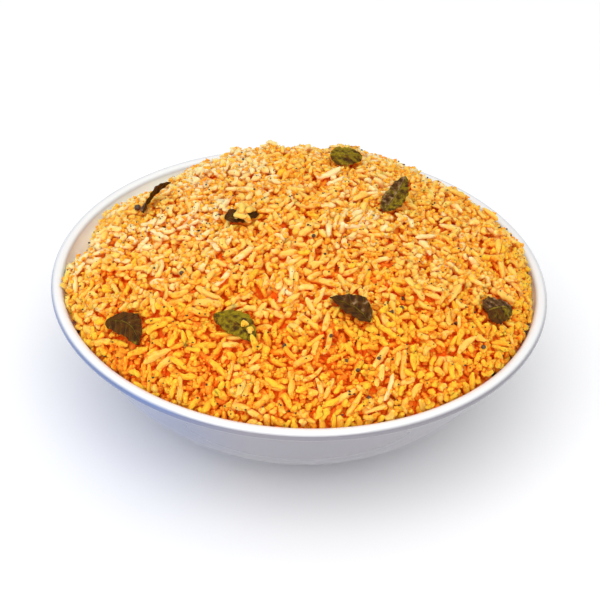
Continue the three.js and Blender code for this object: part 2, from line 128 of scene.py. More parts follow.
# ---------------------------------------------------------------- the leaves, in millimetres
LEAF_TIP = 0.25
LEAF_SKEW = 0.82  # under 1, the widest part is nearer the stalk
LEAF_WAVE = 0.28  # height of the ripples at its sides
LEAF_RIPPLES = 1.25
SIDE_PHASES = (0.6, 2.1)  # of what differs between a leaf's two sides
RAGGED = ((0.05, 17), (0.04, 41))  # share of the width, and radians along the leaf
LEAF_FIELDS = (
    "x", "y", "heading", "climb", "lean", "lift", "length", "width", "fold", "curl", "bend",
)
# Plan position; heading, climb and lean in degrees; lift off the bare dome; length and width;
# fold, curl and bend.
LEAVES = (
    (-52.8, 14.2, 62, 12, -42, 5.6, 18.0, 8.0, 0.30, -1.5, 0.08),
    (-21.3, -4.2, 18, 0, 6, 2.1, 12.5, 8.0, 0.15, 0.4, 0.05),
    (15.2, 44.0, 14, -6, 30, 4.8, 12.5, 9.2, -0.22, -1.2, 0.00),
    (32.2, 14.2, 64, 15, 0, 4.6, 19.0, 8.0, 0.20, 0.8, -0.03),
    (-57.8, -50.9, -44, -1, -6, 2.2, 17.0, 9.0, -0.12, -0.6, 0.20),
    (-20.4, -57.0, -37, -8, 0, 2.2, 18.5, 9.2, -0.25, -0.5, 0.13),
    (17.0, -48.5, 143, 7, 0, 2.3, 17.2, 9.2, 0.30, 0.9, -0.15),
    (68.0, -30.6, 39, -17, 0, 3.5, 13.5, 10.5, -0.40, -0.8, 0.05),
)
# How far each half of a leaf kept its green, and how much painted sheen, a highlight put in
# its colour, it has: first the half on the left of the leaf's heading, then the other.
LEAF_GREEN = (
    (0.20, 0.30), (0.25, 0.20), (0.60, 0.52), (0.45, 0.55),
    (0.10, 0.35), (0.85, 0.55), (0.15, 0.35), (0.35, 0.45),
)
LEAF_PAINTED_SHEEN = (
    (0.60, 0.15), (0.10, 0.05), (0.15, 0.30), (0.75, 0.15),
    (0.30, 0.10), (0.30, 0.10), (0.15, 0.60), (0.70, 0.25),
)
# The power of each leaf's outline: the lower, the blunter its ends.
LEAF_BLUNT = (0.8, 0.7, 0.5, 0.6, 0.6, 0.8, 0.8, 0.52)
CRUMPLE = 0.34  # height of the wrinkles that frying leaves
CRUMPLE_WAVES = 5
CRUMPLE_SIZES = (0.5, 1.4)

# Mustard seeds that the picture shows, as plan positions.
SEED_SPOTS = (
    (29.9, -41.5), (35.2, -39.2), (34.4, -44.4), (31.0, -46.4), (20.4, -68.6), (16.6, -66.0),
    (24.4, -75.4), (26.9, -64.3), (11.1, -58.8), (-3.9, -62.6), (53.9, -43.0), (53.8, -54.8),
    (62.1, -48.4), (-13.5, 8.2), (4.1, -14.4), (-40.4, -30.9), (12.3, 0.8), (11.2, -19.6),
    (24.6, 8.1), (-57.0, 0.4), (-60.0, 15.0),
)
BIG_SEED = 1.25  # radius of the last one, beside the leaf on the upper left

# ---------------------------------------------------------------- the stage, in metres
SKY_HIGH = (0.97, 0.98, 1.0)
SKY_LOW = (0.12, 0.13, 0.15)
CAMERA_AIM = Vector((0.0004355, 0.0, 0.0422475))
CAMERA_DISTANCE = 0.62
CAMERA_ELEVATION = math.radians(35.839)
CAMERA_ROLL = math.radians(2.712)
CAMERA_LENS = 100.99
SENSOR_WIDTH = 36.0
FLOOR_HALF = 4000.0  # half the floor's width, in millimetres
# Place, size in metres and colour of each light, which all aim at the middle of the dish.
KEY_LIGHT = ((-0.12, -0.72, 0.74), 1.3, (1.0, 0.985, 0.96))
SIDE_LIGHT = ((-0.62, -0.42, 0.06), 0.3, (0.12, 0.36, 1.0))
LIGHT_AIM = Vector((0.0, 0.0, 0.05))
DIFFUSE_BOUNCES = 12
ALL_BOUNCES = 16


# ---------------------------------------------------------------- settings
def length(name, description, default):
    return FloatProperty(name=name, description=description, default=default, unit="LENGTH")


def colour(name, description, default):
    return FloatVectorProperty(
        name=name, description=description, default=default, subtype="COLOR", min=0.0, max=1.0
    )


def power(name, description, default):
    return FloatProperty(name=name, description=description, default=default, unit="POWER")


class BowlSettings(bpy.types.PropertyGroup):
    sides: IntProperty(name="Sides", description="Facets around the bowl", default=160, min=32)
    glaze: colour("Glaze", "Colour of the glaze", (0.765, 0.77, 0.765))


class RiceSettings(bpy.types.PropertyGroup):
    grain_length: length("Grain length", "Length of an ordinary cooked grain", 7.4 * MM)
    grain_width: length("Grain width", "Width of an ordinary cooked grain", 2.12 * MM)
    grains: IntProperty(name="Grains", description="Grains in the heap's skin", default=4300)
    crumbs: IntProperty(name="Crumbs", description="Broken bits of grain", default=9800)
    specks: IntProperty(name="Specks", description="Specks of black spice", default=1500)
    pale: colour("Pale", "Grains that took little colour", (0.98, 0.70, 0.33))
    golden: colour("Golden", "Grains coloured by turmeric and ghee", (1.0, 0.475, 0.03))
    amber: colour("Amber", "Grains in the spiced oil", (1.0, 0.235, 0.01))
    deep: colour("Deep", "Oil and spice between the grains", (1.0, 0.14, 0.004))


class LeafSettings(bpy.types.PropertyGroup):
    thickness: length("Thickness", "Thickness of a fried leaf", 0.35 * MM)
    brown: colour("Brown", "Well fried parts of a leaf", (0.095, 0.030, 0.002))
    green: colour("Green", "Parts that stayed green", (0.300, 0.210, 0.004))
    # Painted sheen: a highlight put in the colour of a leaf's crests.
    painted_sheen: colour("Wax", "Waxy sheen on the crests", (0.52, 0.34, 0.18))


class StageSettings(bpy.types.PropertyGroup):
    floor: colour("Floor", "Colour of the floor", (0.95, 0.95, 0.95))
    sky: FloatProperty(name="Sky", description="Strength of the soft sky", default=0.98)
    key: power("Key light", "Power of the key light", 8.2)
    fill: power("Fill light", "Power of the side light", 0.7)


# ---------------------------------------------------------------- shader expressions
class Wire:
    """A shader value that takes part in Python arithmetic."""

    def __init__(self, sheet, socket):
        self.sheet = sheet
        self.socket = socket

    def math(self, operation, *values):
        return self.sheet.node("ShaderNodeMath", {"operation": operation}, dict(enumerate(values)))

    def __add__(self, other):
        return self.math("ADD", self, other)

    def __sub__(self, other):
        return self.math("SUBTRACT", self, other)

    def __rsub__(self, other):
        return self.math("SUBTRACT", other, self)

    def __mul__(self, other):
        return self.math("MULTIPLY", self, other)

    def __abs__(self):
        return self.math("ABSOLUTE", self)

    def sine(self):
        return self.math("SINE", self)

    __radd__ = __add__
    __rmul__ = __mul__

    def smooth(self, low, high):
        """0 below low, 1 above high, smooth in between."""
        settings = {"interpolation_type": "SMOOTHSTEP"}
        return self.sheet.node("ShaderNodeMapRange", settings, {"Value": self, 1: low, 2: high})


class Sheet:
    """The nodes of one material, or of the sky."""

    def __init__(self, owner, shader="Principled BSDF"):
        owner.use_nodes = True
        self.owner = owner
        self.tree = owner.node_tree
        self.shader = self.tree.nodes[shader]

    def node(self, kind, settings=None, inputs=None, output=0):
        """Adds a node with its settings and inputs, and returns a wire from its output."""
        made = self.tree.nodes.new(kind)
        for key, value in (settings or {}).items():
            setattr(made, key, value)
        for key, value in (inputs or {}).items():
            self.plug(made.inputs[key], value)
        return Wire(self, made.outputs[output])

    def plug(self, socket, value):
        if isinstance(value, Wire):
            self.tree.links.new(value.socket, socket)
        elif isinstance(value, (tuple, list)) and socket.type == "RGBA":
            socket.default_value = (*value[:3], 1.0)
        else:
            socket.default_value = value

    def set(self, **values):
        """Sets or links the main shader's sockets, named with _ for a blank."""
        for key, value in values.items():
            self.plug(self.shader.inputs[key.replace("_", " ")], value)

    def place(self):
        return self.node("ShaderNodeTexCoord", output="Object")

    def split(self, vector, axis):
        return self.node("ShaderNodeSeparateXYZ", None, {0: vector}, axis)

    def attribute(self, name):
        return self.node("ShaderNodeAttribute", {"attribute_name": name}, output="Fac")

    def noise(self, millimetres, detail=2.0, roughness=0.5):
        """Noise from 0 to 1 whose lumps are about so many millimetres across."""
        inputs = {"Vector": self.place(), "Scale": 1.0 / (millimetres * MM), "Detail": detail}
        return self.node("ShaderNodeTexNoise", None, {**inputs, "Roughness": roughness})

    def mix(self, factor, first, second):
        """first where factor is 0, second where it is 1, as colours."""
        inputs = {0: factor, 6: first, 7: second}
        return self.node("ShaderNodeMix", {"data_type": "RGBA"}, inputs, output=2)

    def bump(self, height, millimetres, strength=1.0):
        inputs = {"Height": height, "Distance": millimetres * MM, "Strength": strength}
        return self.node("ShaderNodeBump", None, inputs)


def new_sheet(name):
    return Sheet(bpy.data.materials.new(name))


# ---------------------------------------------------------------- small sums
def columns(*parts):
    """Parts of one shape, or that spread to one, side by side along a new last axis."""
    return np.stack(np.broadcast_arrays(*parts), axis=-1)


def polar(radius, turn):
    return radius * np.cos(turn), radius * np.sin(turn)


def rotated(x, y, angle):
    return x * np.cos(angle) - y * np.sin(angle), x * np.sin(angle) + y * np.cos(angle)


def unit(vectors):
    return vectors / np.maximum(np.linalg.norm(vectors, axis=-1, keepdims=True), TINY**2)


def smoothstep(value, low, high):
    share = np.clip((value - low) / (high - low), 0.0, 1.0)
    return share * share * (3.0 - 2.0 * share)


# ---------------------------------------------------------------- curves of the bowl
def bezier(start, first, second, end, count=400):
    t = np.linspace(0.0, 1.0, count)[:, None]
    start, first, second, end = (np.array(point, float) for point in (start, first, second, end))
    return (
        (1 - t) ** 3 * start
        + 3 * (1 - t) ** 2 * t * first
        + 3 * (1 - t) * t**2 * second
        + t**3 * end
    )


def arc_lengths(points):
    steps = np.hypot(*np.diff(points, axis=0).T)
    return np.concatenate([[0.0], np.cumsum(steps)])


def along_curve(points, count):
    """count points spaced evenly along a dense polyline."""
    arcs = arc_lengths(points)
    wanted = np.linspace(0.0, arcs[-1], count)
    return np.stack([np.interp(wanted, arcs, points[:, axis]) for axis in (0, 1)], axis=1)


def outer_wall():
    """Radius and height down the outside of the wall, from the bead to the foot."""
    return bezier(
        (RIM_RADIUS - BEAD_OVERHANG, BOWL_HEIGHT - BEAD_HEIGHT + BEAD_LAP),
        (RIM_RADIUS - UPPER_HANDLE[0], BOWL_HEIGHT - UPPER_HANDLE[1]),
        (FOOT_RADIUS + LOWER_HANDLE[0], FOOT_HEIGHT + LOWER_HANDLE[1]),
        (FOOT_RADIUS + FOOT_FLARE, FOOT_HEIGHT + FOOT_FILLET),
    )


def inner_wall():
    outside = outer_wall()
    tangent = np.gradient(outside, axis=0)
    tangent /= np.hypot(*tangent.T)[:, None]
    return outside + WALL * columns(tangent[:, 1], -tangent[:, 0])


def bead(count):
    out, up = polar(1.0, np.radians(np.linspace(BEAD_START, BEAD_END, count)))
    half_width, half_height = BEAD_WIDTH / 2, BEAD_HEIGHT / 2
    return columns(
        RIM_RADIUS - half_width + half_width * out, BOWL_HEIGHT - half_height + half_height * up
    )


def rounded(corners, radius, steps=4):
    """An open outline whose corners are rounded, apart from its two ends."""
    corners = np.array(corners, float)
    points = [corners[0]]
    for corner, *others in zip(corners[1:], corners, corners[2:]):
        ends = []
        for other in others:
            side = np.linalg.norm(other - corner)
            ends.append(corner + (other - corner) / side * min(radius, 0.45 * side))
        start, end = ends
        for t in np.linspace(0.0, 1.0, steps):
            points.append((1 - t) ** 2 * start + 2 * t * (1 - t) * corner + t**2 * end)
    return np.array([*points, corners[-1]])


def bowl_outline():
    """The whole section of the bowl, from the axis underneath to the axis inside."""
    ring_inside = FOOT_RADIUS - FOOT_WIDTH
    foot = rounded(
        [
            (0.0, FOOT_RECESS),
            (ring_inside - FOOT_TAPER, FOOT_RECESS),
            (ring_inside, 0.0),
            (FOOT_RADIUS, 0.0),
            (FOOT_RADIUS + FOOT_NECK[0], FOOT_HEIGHT + FOOT_NECK[1]),
            outer_wall()[-1],
        ],
        FOOT_ROUNDING,
    )
    wall = along_curve(outer_wall()[::-1], WALL_RINGS)[1:]
    inside = along_curve(inner_wall(), WALL_RINGS)
    hip = (0.8 * FOOT_RADIUS, FLOOR_LEVEL + 0.1)
    floor = bezier(inside[-1], hip, (FLOOR_FLAT, FLOOR_LEVEL), (0.0, FLOOR_LEVEL), FLOOR_RINGS)
    return np.concatenate([foot, wall, bead(BEAD_RINGS), inside[1:], floor[1:]])


INNER_WALL = inner_wall()


def inside_radius(level):
    """Radius of the inside of the bowl at a level."""
    return np.interp(level, INNER_WALL[::-1, 1], INNER_WALL[::-1, 0])


# ---------------------------------------------------------------- the bare heap
DOME = bezier(
    (0.0, HEAP_RISE),
    *((radius * HEAP_RADIUS, rise * HEAP_RISE) for radius, rise in DOME_SHOULDERS),
    (HEAP_RADIUS, 0.0),
)
DOME_ARCS = arc_lengths(DOME)
DOME_ARC = DOME_ARCS[-1]
DOME_SLOPE = np.gradient(DOME, DOME_ARCS, axis=0)


def dent_depth(x, y):
    depth = 0.0
    for dent_x, dent_y, deepest, radius in DENTS:
        depth = depth + deepest * np.exp(-((x - dent_x) ** 2 + (y - dent_y) ** 2) / radius**2)
    return depth


def edge_sag(turn):
    return EDGE_SWING * sum(share * np.sin(count * turn + phase) for share, count, phase in EDGE_WAVES)


def edge_level(turn):
    dent = dent_depth(HEAP_RADIUS * np.cos(turn), HEAP_RADIUS * np.sin(turn))
    return BOWL_HEIGHT - EDGE_DEPTH - edge_sag(turn) - dent


def dome_scale(turn):
    """How much the dome is widened to meet the wall."""
    return inside_radius(edge_level(turn)) / HEAP_RADIUS


def wave(kind, first, second):
    height, lengths, phases = kind
    return height * np.sin(first / lengths[0] + phases[0]) * np.cos(second / lengths[1] + phases[1])


def on_heap(across, along, height):
    """Points of the heap from flat coordinates measured over its skin from the crown, standing
    off square to the dome by height."""
    distance = np.hypot(across, along)
    turn = np.arctan2(along, across)
    inside = np.minimum(distance, DOME_ARC)
    section = (np.interp(inside, DOME_ARCS, values) for values in (*DOME.T, *DOME_SLOPE.T))
    section_radius, section_level, run, fall = section
    x, y = polar(section_radius * dome_scale(turn), turn)
    waves = wave(BROAD_WAVES, x, y) + wave(SLANT_WAVES, x + y, x - y)
    sink = (inside / DOME_ARC) ** 2 * edge_sag(turn)
    level = BOWL_HEIGHT - EDGE_DEPTH + section_level - sink - dent_depth(x, y)
    level = level + smoothstep(DOME_ARC - distance, 0.0, CALM_EDGE) * waves
    out_x, out_y = polar(fall * height, turn)
    return columns(x - out_x, y - out_y, level + run * height)


def flat_from_plan(x, y):
    """Flat coordinates of the skin straight below a plan position."""
    turn = np.arctan2(y, x)
    distance = np.interp(np.hypot(x, y) / dome_scale(turn), DOME[:, 0], DOME_ARCS)
    return polar(distance, turn)


def dome_normal(across, along):
    return unit(on_heap(across, along, 1.0) - on_heap(across, along, 0.0))


def skin_frame(across, along):
    """Unit vectors of the skin along both flat coordinates, and its true normal."""
    step = 0.5
    over = on_heap(across + step, along, 0.0) - on_heap(across - step, along, 0.0)
    up = on_heap(across, along + step, 0.0) - on_heap(across, along - step, 0.0)
    normal = unit(np.cross(over, up))
    return unit(over), unit(up), normal


def to_flat(points):
    """Flat coordinates and height of points near the heap."""
    height = np.zeros(len(points))
    foot = points
    for _ in range(4):
        across, along = flat_from_plan(foot[:, 0], foot[:, 1])
        normal = dome_normal(across, along)
        height = ((points - on_heap(across, along, 0.0)) * normal).sum(axis=1)
        foot = points - height[:, None] * normal
    return across, along, height


# ---------------------------------------------------------------- the leaves' shape
def leaf_records():
    fields = (*LEAF_FIELDS, "blunt")
    return [dict(zip(fields, (*values, blunt))) for values, blunt in zip(LEAVES, LEAF_BLUNT)]


def leaf_crumple(leaf, lengthwise, sideways):
    """Height of the wrinkles of a fried leaf, rounded below and sharp on their crests."""
    rng = np.random.default_rng(int(abs(100 * leaf["x"])))
    height = np.zeros(np.shape(lengthwise))
    for _ in range(CRUMPLE_WAVES):
        angle, size, start = (rng.uniform(*ends) for ends in ((0, 3.1), CRUMPLE_SIZES, (0, 6.3)))
        crest = np.sin((lengthwise * math.cos(angle) + sideways * math.sin(angle)) / size + start)
        height = height + CRUMPLE * size / 1.2 * (1 - 1.5 * np.abs(crest)) / CRUMPLE_WAVES**0.5
    return height


def leaf_surface(leaf, along, across):
    """Points of a leaf's middle surface in its own frame."""
    breadth = np.sin(math.pi * along**LEAF_SKEW) ** leaf["blunt"]
    half = np.maximum(LEAF_TIP, 0.5 * leaf["width"] * breadth)
    bend = leaf["bend"] * leaf["length"] * np.sin(math.pi * along)
    side = np.abs(across)
    phase = np.where(across > 0, *SIDE_PHASES)
    ripple = LEAF_WAVE * side * np.sin(LEAF_RIPPLES * 2 * math.pi * along + phase)
    fold = leaf["fold"] * side * half
    curl = leaf["curl"] * (2 * along - 1) ** 2
    (coarse, few), (fine, many) = RAGGED
    ragged = 1 + coarse * np.sin(few * along + leaf["x"] + phase)
    ragged = ragged + fine * np.sin(many * along + phase)
    lengthwise = (along - 0.5) * leaf["length"]
    sideways = across * half * ragged
    crumple = leaf_crumple(leaf, lengthwise, sideways)
    return columns(lengthwise, bend + sideways, fold + curl + ripple + crumple)


def leaf_frame(leaf):
    """A leaf's origin, and its own axes as rows."""
    across, along = flat_from_plan(leaf["x"], leaf["y"])
    normal = dome_normal(across, along)
    heading, climb = math.radians(leaf["heading"]), math.radians(leaf["climb"])
    level = math.cos(climb)
    lengthwise = [math.cos(heading) * level, math.sin(heading) * level, math.sin(climb)]
    cross = unit(np.cross(normal, lengthwise))
    turned = Quaternion(Vector(lengthwise), math.radians(leaf["lean"])) @ Vector(cross)
    cross = np.array(turned)
    face = np.cross(lengthwise, cross)
    origin = on_heap(across, along, 0.0) + leaf["lift"] * normal
    return origin, np.array([lengthwise, cross, face])


# ---------------------------------------------------------------- the heap's relief
def random_spots(rng, count, margin):
    """Flat coordinates spread evenly over the skin, up to a margin from the wall."""
    distance = (DOME_ARC - margin) * np.sqrt(rng.random(count))
    return polar(distance, rng.random(count) * 2 * math.pi)


def relief_spots():
    """Clumps and hollows all over the heap: flat position, height and radius of each."""
    rng = np.random.default_rng(RANDOM_SEED + 9)
    across, along = random_spots(rng, RELIEF_COUNT, RELIEF_MARGIN)
    clump = rng.random(RELIEF_COUNT) < CLUMP_SHARE
    up, down, wide, narrow = (
        rng.uniform(*limits, RELIEF_COUNT)
        for limits in (CLUMP_HEIGHTS, HOLLOW_DEPTHS, CLUMP_RADII, HOLLOW_RADII)
    )
    height = np.where(clump, up, -down)
    return columns(across, along, height, np.where(clump, wide, narrow))


RELIEF = relief_spots()
NAMED_RELIEF = np.array([(*flat_from_plan(x, y), *form) for x, y, *form in NAMED_SPOTS])
LEAF_MIDDLES = np.array([flat_from_plan(leaf["x"], leaf["y"]) for leaf in leaf_records()])


def pile(x, y, spots):
    """Height of rounded clumps and hollows at flat places."""
    distance = (x - spots[:, 0]) ** 2 + (y - spots[:, 1]) ** 2
    return (spots[:, 2] * np.exp(-distance / spots[:, 3] ** 2)).sum(axis=1)


def relief(across, along):
    """How far the heap's skin stands over or under the bare dome because grains cling."""
    shape = np.shape(across)
    x, y = np.ravel(across)[:, None], np.ravel(along)[:, None]
    height = pile(x, y, RELIEF)
    leaves = (x - LEAF_MIDDLES[:, 0]) ** 2 + (y - LEAF_MIDDLES[:, 1]) ** 2
    height = height * (1 - np.exp(-leaves / LEAF_REST**2)).min(axis=1)
    edge = DOME_ARC - np.hypot(x, y)[:, 0]
    return (height * smoothstep(edge, *RELIEF_FADE) + pile(x, y, NAMED_RELIEF)).reshape(shape)


# ---------------------------------------------------------------- dropping grains on the heap
FIELD_MARGIN = 4.0
NO_LIMIT = 999.0
NOTHING = -99.0
LEAF_SAMPLES = (90, 50)  # places along and across a leaf at which its height is taken
LEAF_ENDS = (0.02, 0.98)
UNDER_LEAF = 0.25  # from a leaf's middle surface down to the grains under it
ON_LEAF = 0.2  # and up to what lies on it


class HeightField:
    """How high the rice reaches over the bare dome, cell by cell in flat coordinates, and how
    high it may reach under the leaves."""

    def __init__(self):
        self.half = math.ceil((DOME_ARC + FIELD_MARGIN) / CELL)
        width = 2 * self.half + 1
        steps = (np.arange(width) - self.half) * CELL
        rows = [relief(steps, np.full(width, step)) for step in steps]
        self.top = np.array(rows) - BED_DEPTH
        self.ceiling = np.full((width, width), NO_LIMIT)
        self.on_leaf = np.zeros((width, width), bool)
        for leaf in leaf_records():
            self.keep_under(leaf)

    def cells(self, across, along):
        column = np.clip(np.rint(across / CELL).astype(int) + self.half, 0, 2 * self.half)
        row = np.clip(np.rint(along / CELL).astype(int) + self.half, 0, 2 * self.half)
        return row, column

    def under(self, leaf):
        """The cells that a leaf covers, and its height in each."""
        origin, axes = leaf_frame(leaf)
        lengths, widths = LEAF_SAMPLES
        along, across = np.meshgrid(np.linspace(*LEAF_ENDS, lengths), np.linspace(-1, 1, widths))
        points = leaf_surface(leaf, along.ravel(), across.ravel()) @ axes + origin
        flat_x, flat_y, height = to_flat(points)
        return self.cells(flat_x, flat_y), height

    def keep_under(self, leaf):
        (row, column), height = self.under(leaf)
        for down in (-1, 0, 1):
            for over in (-1, 0, 1):
                np.minimum.at(self.ceiling, (row + down, column + over), height - UNDER_LEAF)

    def lay_leaves(self):
        """Lets what falls later come to rest on the leaves."""
        for leaf in leaf_records():
            spots, height = self.under(leaf)
            np.maximum.at(self.top, spots, height + ON_LEAF)
            self.on_leaf[spots] = True
        self.ceiling[:] = NO_LIMIT

    def height_at(self, across, along):
        return self.top[self.cells(across, along)]


PROFILE_POWER = 5.0  # how blunt a grain's ends are
LONG_SHARE = 0.2  # of the grains
BROKEN_SHARE = 0.40
LONG_STRETCH = (1.1, 1.42)  # lengths, as shares of an ordinary grain's
BROKEN_STRETCH = (0.32, 0.68)
ORDINARY_STRETCH = (0.74, 1.1)
WIDTH_SPREAD = 0.1
WIDTH_LIMITS = (0.78, 1.25)
SHORTEST = 1.15  # a grain's least length, as a share of its width
FLATNESS = (0.8, 0.98)
EDGE_REACH = 0.5  # grains may fall this far past the dome's edge
FILLING_SHARE = 0.55  # of the grains, those that fill the hollows first
FILLING_TRIES = 7  # places tried for each of them
LATER_TRIES = 3  # and for each of the others
STANDING_SHARE = 0.3  # of the others
STANDING_SLOPES = (0.5, 1.7)
STANDING_SINK = 0.3  # of their half height
SINK = 0.2  # how far a soft grain sinks into those under it
HIGHEST_GRAIN = 1.4  # over the relief
RISE_WEIGHT = 0.6  # how much of a sloping grain's half height counts for that
REST_STEPS = np.linspace(-0.94, 0.94, 9)
REST_SIDES = np.array([-0.6, 0.0, 0.6])
STEEPEST = math.tan(math.radians(40.0))
WALL_SHARES = (-0.85, 0.0, 0.85)  # places along a grain that have to clear the wall
WALL_GAP = 0.75  # of a grain's half width
OVER_RIM = 0.3  # grains this far over the rim may reach out
GRAIN_FIELDS = ("across", "along", "heading", "half", "thick", "wide", "height", "slope")


def girth(share):
    """A grain's radius at a share of its half length, as a share of its greatest radius."""
    return np.sqrt(np.clip(1.0 - np.abs(share) ** PROFILE_POWER, 0.0, 1.0))


def rest_on(field, across, along, heading, half, thick, wide):
    """Where grains dropped at these places come to rest: their middle's height and their slope.
    Each grain is a stick that falls until the highest supports on both sides carry it."""
    s = REST_STEPS[None, :, None] * half[:, None, None]
    t = REST_SIDES[None, None, :] * wide[:, None, None]
    cos, sin = np.cos(heading)[:, None, None], np.sin(heading)[:, None, None]
    spot_x = across[:, None, None] + s * cos - t * sin
    spot_y = along[:, None, None] + s * sin + t * cos
    cells = field.cells(spot_x, spot_y)
    belly = thick[:, None, None] * girth(REST_STEPS)[None, :, None] * np.sqrt(1 - REST_SIDES**2)
    support = (field.top[cells] + belly).max(axis=2)
    place = s[:, :, 0]
    middle = len(REST_STEPS) // 2
    left, right = support[:, : middle + 1, None], support[:, None, middle:]
    from_left, to_right = place[:, : middle + 1, None], place[:, None, middle:]
    apart = to_right - from_left > TINY
    span = np.maximum(to_right - from_left, TINY)
    carried = np.where(apart, (left * to_right - right * from_left) / span, left)
    slopes = np.where(apart, (right - left) / span, 0.0)
    best = carried.reshape(len(half), -1).argmax(axis=1)
    slope = slopes.reshape(len(half), -1)[np.arange(len(half)), best]
    slope = np.clip(slope, -STEEPEST, STEEPEST)
    height = (support - slope[:, None] * place).max(axis=1)
    roof = field.ceiling[cells].min(axis=2)
    free = (height[:, None] + slope[:, None] * place + belly[:, :, 1] < roof).all(axis=1)
    return height, slope, free


def stays_inside(across, along, heading, half, wide, height, slope):
    """Whether a grain's ends and middle stay clear of the wall."""
    inside = np.ones(len(half), bool)
    for share in WALL_SHARES:
        s = share * half
        points = on_heap(across + s * np.cos(heading), along + s * np.sin(heading), height + slope * s)
        wall = inside_radius(points[:, 2])
        limit = np.where(points[:, 2] < BOWL_HEIGHT + OVER_RIM, wall, NO_LIMIT)
        inside &= np.hypot(points[:, 0], points[:, 1]) + WALL_GAP * wide < limit
    return inside


def settle(field, across, along, heading, half, thick, wide, height, slope):
    """Raises the height field over one grain that has come to rest."""
    half = half / math.hypot(1.0, slope)
    row, column = field.cells(np.array(across), np.array(along))
    cells = math.ceil((half + CELL) / CELL)
    first_row, first_column = max(row - cells, 0), max(column - cells, 0)
    patch = field.top[first_row : row + cells + 1, first_column : column + cells + 1]
    y = (np.arange(first_row, first_row + patch.shape[0]) - field.half) * CELL - along
    x = (np.arange(first_column, first_column + patch.shape[1]) - field.half) * CELL - across
    s = x[None, :] * math.cos(heading) + y[:, None] * math.sin(heading)
    t = y[:, None] * math.cos(heading) - x[None, :] * math.sin(heading)
    round_at = 1.0 - np.abs(s / half) ** PROFILE_POWER - (t / wide) ** 2
    top = height + slope * s + thick * np.sqrt(np.clip(round_at, 0.0, 1.0))
    np.maximum(patch, np.where(round_at > 0, top, NOTHING), out=patch)


def grain_sizes(rng, tries, grain_length, grain_width):
    """Half lengths, half widths and half thicknesses: long, ordinary and broken grains."""
    kind = rng.random()
    if kind < LONG_SHARE:
        limits = LONG_STRETCH
    elif kind < LONG_SHARE + BROKEN_SHARE:
        limits = BROKEN_STRETCH
    else:
        limits = ORDINARY_STRETCH
    stretch = rng.uniform(*limits)
    wide = 0.5 * grain_width * np.clip(rng.normal(1.0, WIDTH_SPREAD), *WIDTH_LIMITS)
    half = max(0.5 * grain_length * stretch, SHORTEST * wide)
    thick = wide * rng.uniform(*FLATNESS)
    return np.full(tries, half), np.full(tries, thick), np.full(tries, wide)


def drop_grains(count, rng, field, grain_length, grain_width):
    """Drops grains one after another, each at the lowest of a few random places. Some stand on
    end, stuck in the grains below them."""
    kept = []
    while len(kept) < count:
        filling = len(kept) < FILLING_SHARE * count
        tries = FILLING_TRIES if filling else LATER_TRIES
        across, along = random_spots(rng, tries, -EDGE_REACH)
        heading = rng.random(tries) * 2 * math.pi
        half, thick, wide = grain_sizes(rng, tries, grain_length, grain_width)
        height, slope, free = rest_on(field, across, along, heading, half, thick, wide)
        height = height - SINK
        if not filling and rng.random() < STANDING_SHARE:
            slope = rng.uniform(*STANDING_SLOPES) * np.where(rng.random(tries) < 0.5, -1.0, 1.0)
            height = height - STANDING_SINK * half * np.abs(slope) / np.hypot(1.0, slope)
            far = half / np.hypot(1.0, slope)
            for s in (-far, 0.0 * far, far):
                spot = field.cells(across + s * np.cos(heading), along + s * np.sin(heading))
                free &= height + slope * s + wide < field.ceiling[spot]
        free &= stays_inside(across, along, heading, half, wide, height, slope)
        rise = np.abs(slope) * half / np.hypot(1.0, slope)
        wanted = height - relief(across, along)
        free &= wanted + RISE_WEIGHT * rise < HIGHEST_GRAIN
        if not free.any():
            continue
        best = np.where(free, wanted, NO_LIMIT).argmin()
        places = (across, along, heading, half, thick, wide, height, slope)
        grain = [values[best] for values in places]
        settle(field, *grain)
        kept.append(grain)
    return dict(zip(GRAIN_FIELDS, np.array(kept).T))


def place_grains(field, wide, thick):
    """Lays the grains that the picture shows on the leaves and at the edge."""
    kept = []
    for x, y, heading, half, lift in PLACED_GRAINS:
        laid = np.array([*flat_from_plan(x, y), math.radians(heading), half, thick, wide])
        height, slope, _ = rest_on(field, *laid[:, None])
        grain = [*laid, height[0] - SINK + lift, slope[0]]
        settle(field, *grain)
        kept.append(grain)
    return dict(zip(GRAIN_FIELDS, np.array(kept).T))


@lru_cache(maxsize=None)
def heap_of_grains(count, grain_length, grain_width):
    """The height field and all the grains on it."""
    field = HeightField()
    rng = np.random.default_rng(RANDOM_SEED)
    grains = drop_grains(count, rng, field, grain_length, grain_width)
    field.lay_leaves()
    placed = place_grains(field, 0.5 * grain_width, 0.45 * grain_width)
    return field, {key: np.append(grains[key], placed[key]) for key in grains}


# ---------------------------------------------------------------- meshes
def piece_from(name, points, corners, sizes, material):
    """A smooth mesh object from points in millimetres, the faces' corners and each face's
    number of them."""
    mesh = bpy.data.meshes.new(name)
    mesh.vertices.add(len(points))
    mesh.vertices.foreach_set("co", (np.asarray(points, float) * MM).astype(np.float32).ravel())
    mesh.loops.add(len(corners))
    mesh.loops.foreach_set("vertex_index", np.asarray(corners, np.int32))
    mesh.polygons.add(len(sizes))
    starts = np.concatenate([[0], np.cumsum(sizes)[:-1]]).astype(np.int32)
    mesh.polygons.foreach_set("loop_start", starts)
    mesh.polygons.foreach_set("use_smooth", np.full(len(sizes), True))
    mesh.update(calc_edges=True)
    mesh.validate()
    mesh.materials.append(material)
    piece = bpy.data.objects.new(name, mesh)
    bpy.context.scene.collection.objects.link(piece)
    return piece


def piece_of_many(name, points, corners, sizes, count, material):
    """A mesh object of count like parts, from the corners and sizes of the faces of one."""
    starts = len(points) // count * np.arange(count)[:, None]
    return piece_from(name, points, (corners + starts).ravel(), np.tile(sizes, count), material)


def add_values(piece, name, values):
    attribute = piece.data.attributes.new(name, "FLOAT", "POINT")
    attribute.data.foreach_set("value", np.asarray(values, np.float32))


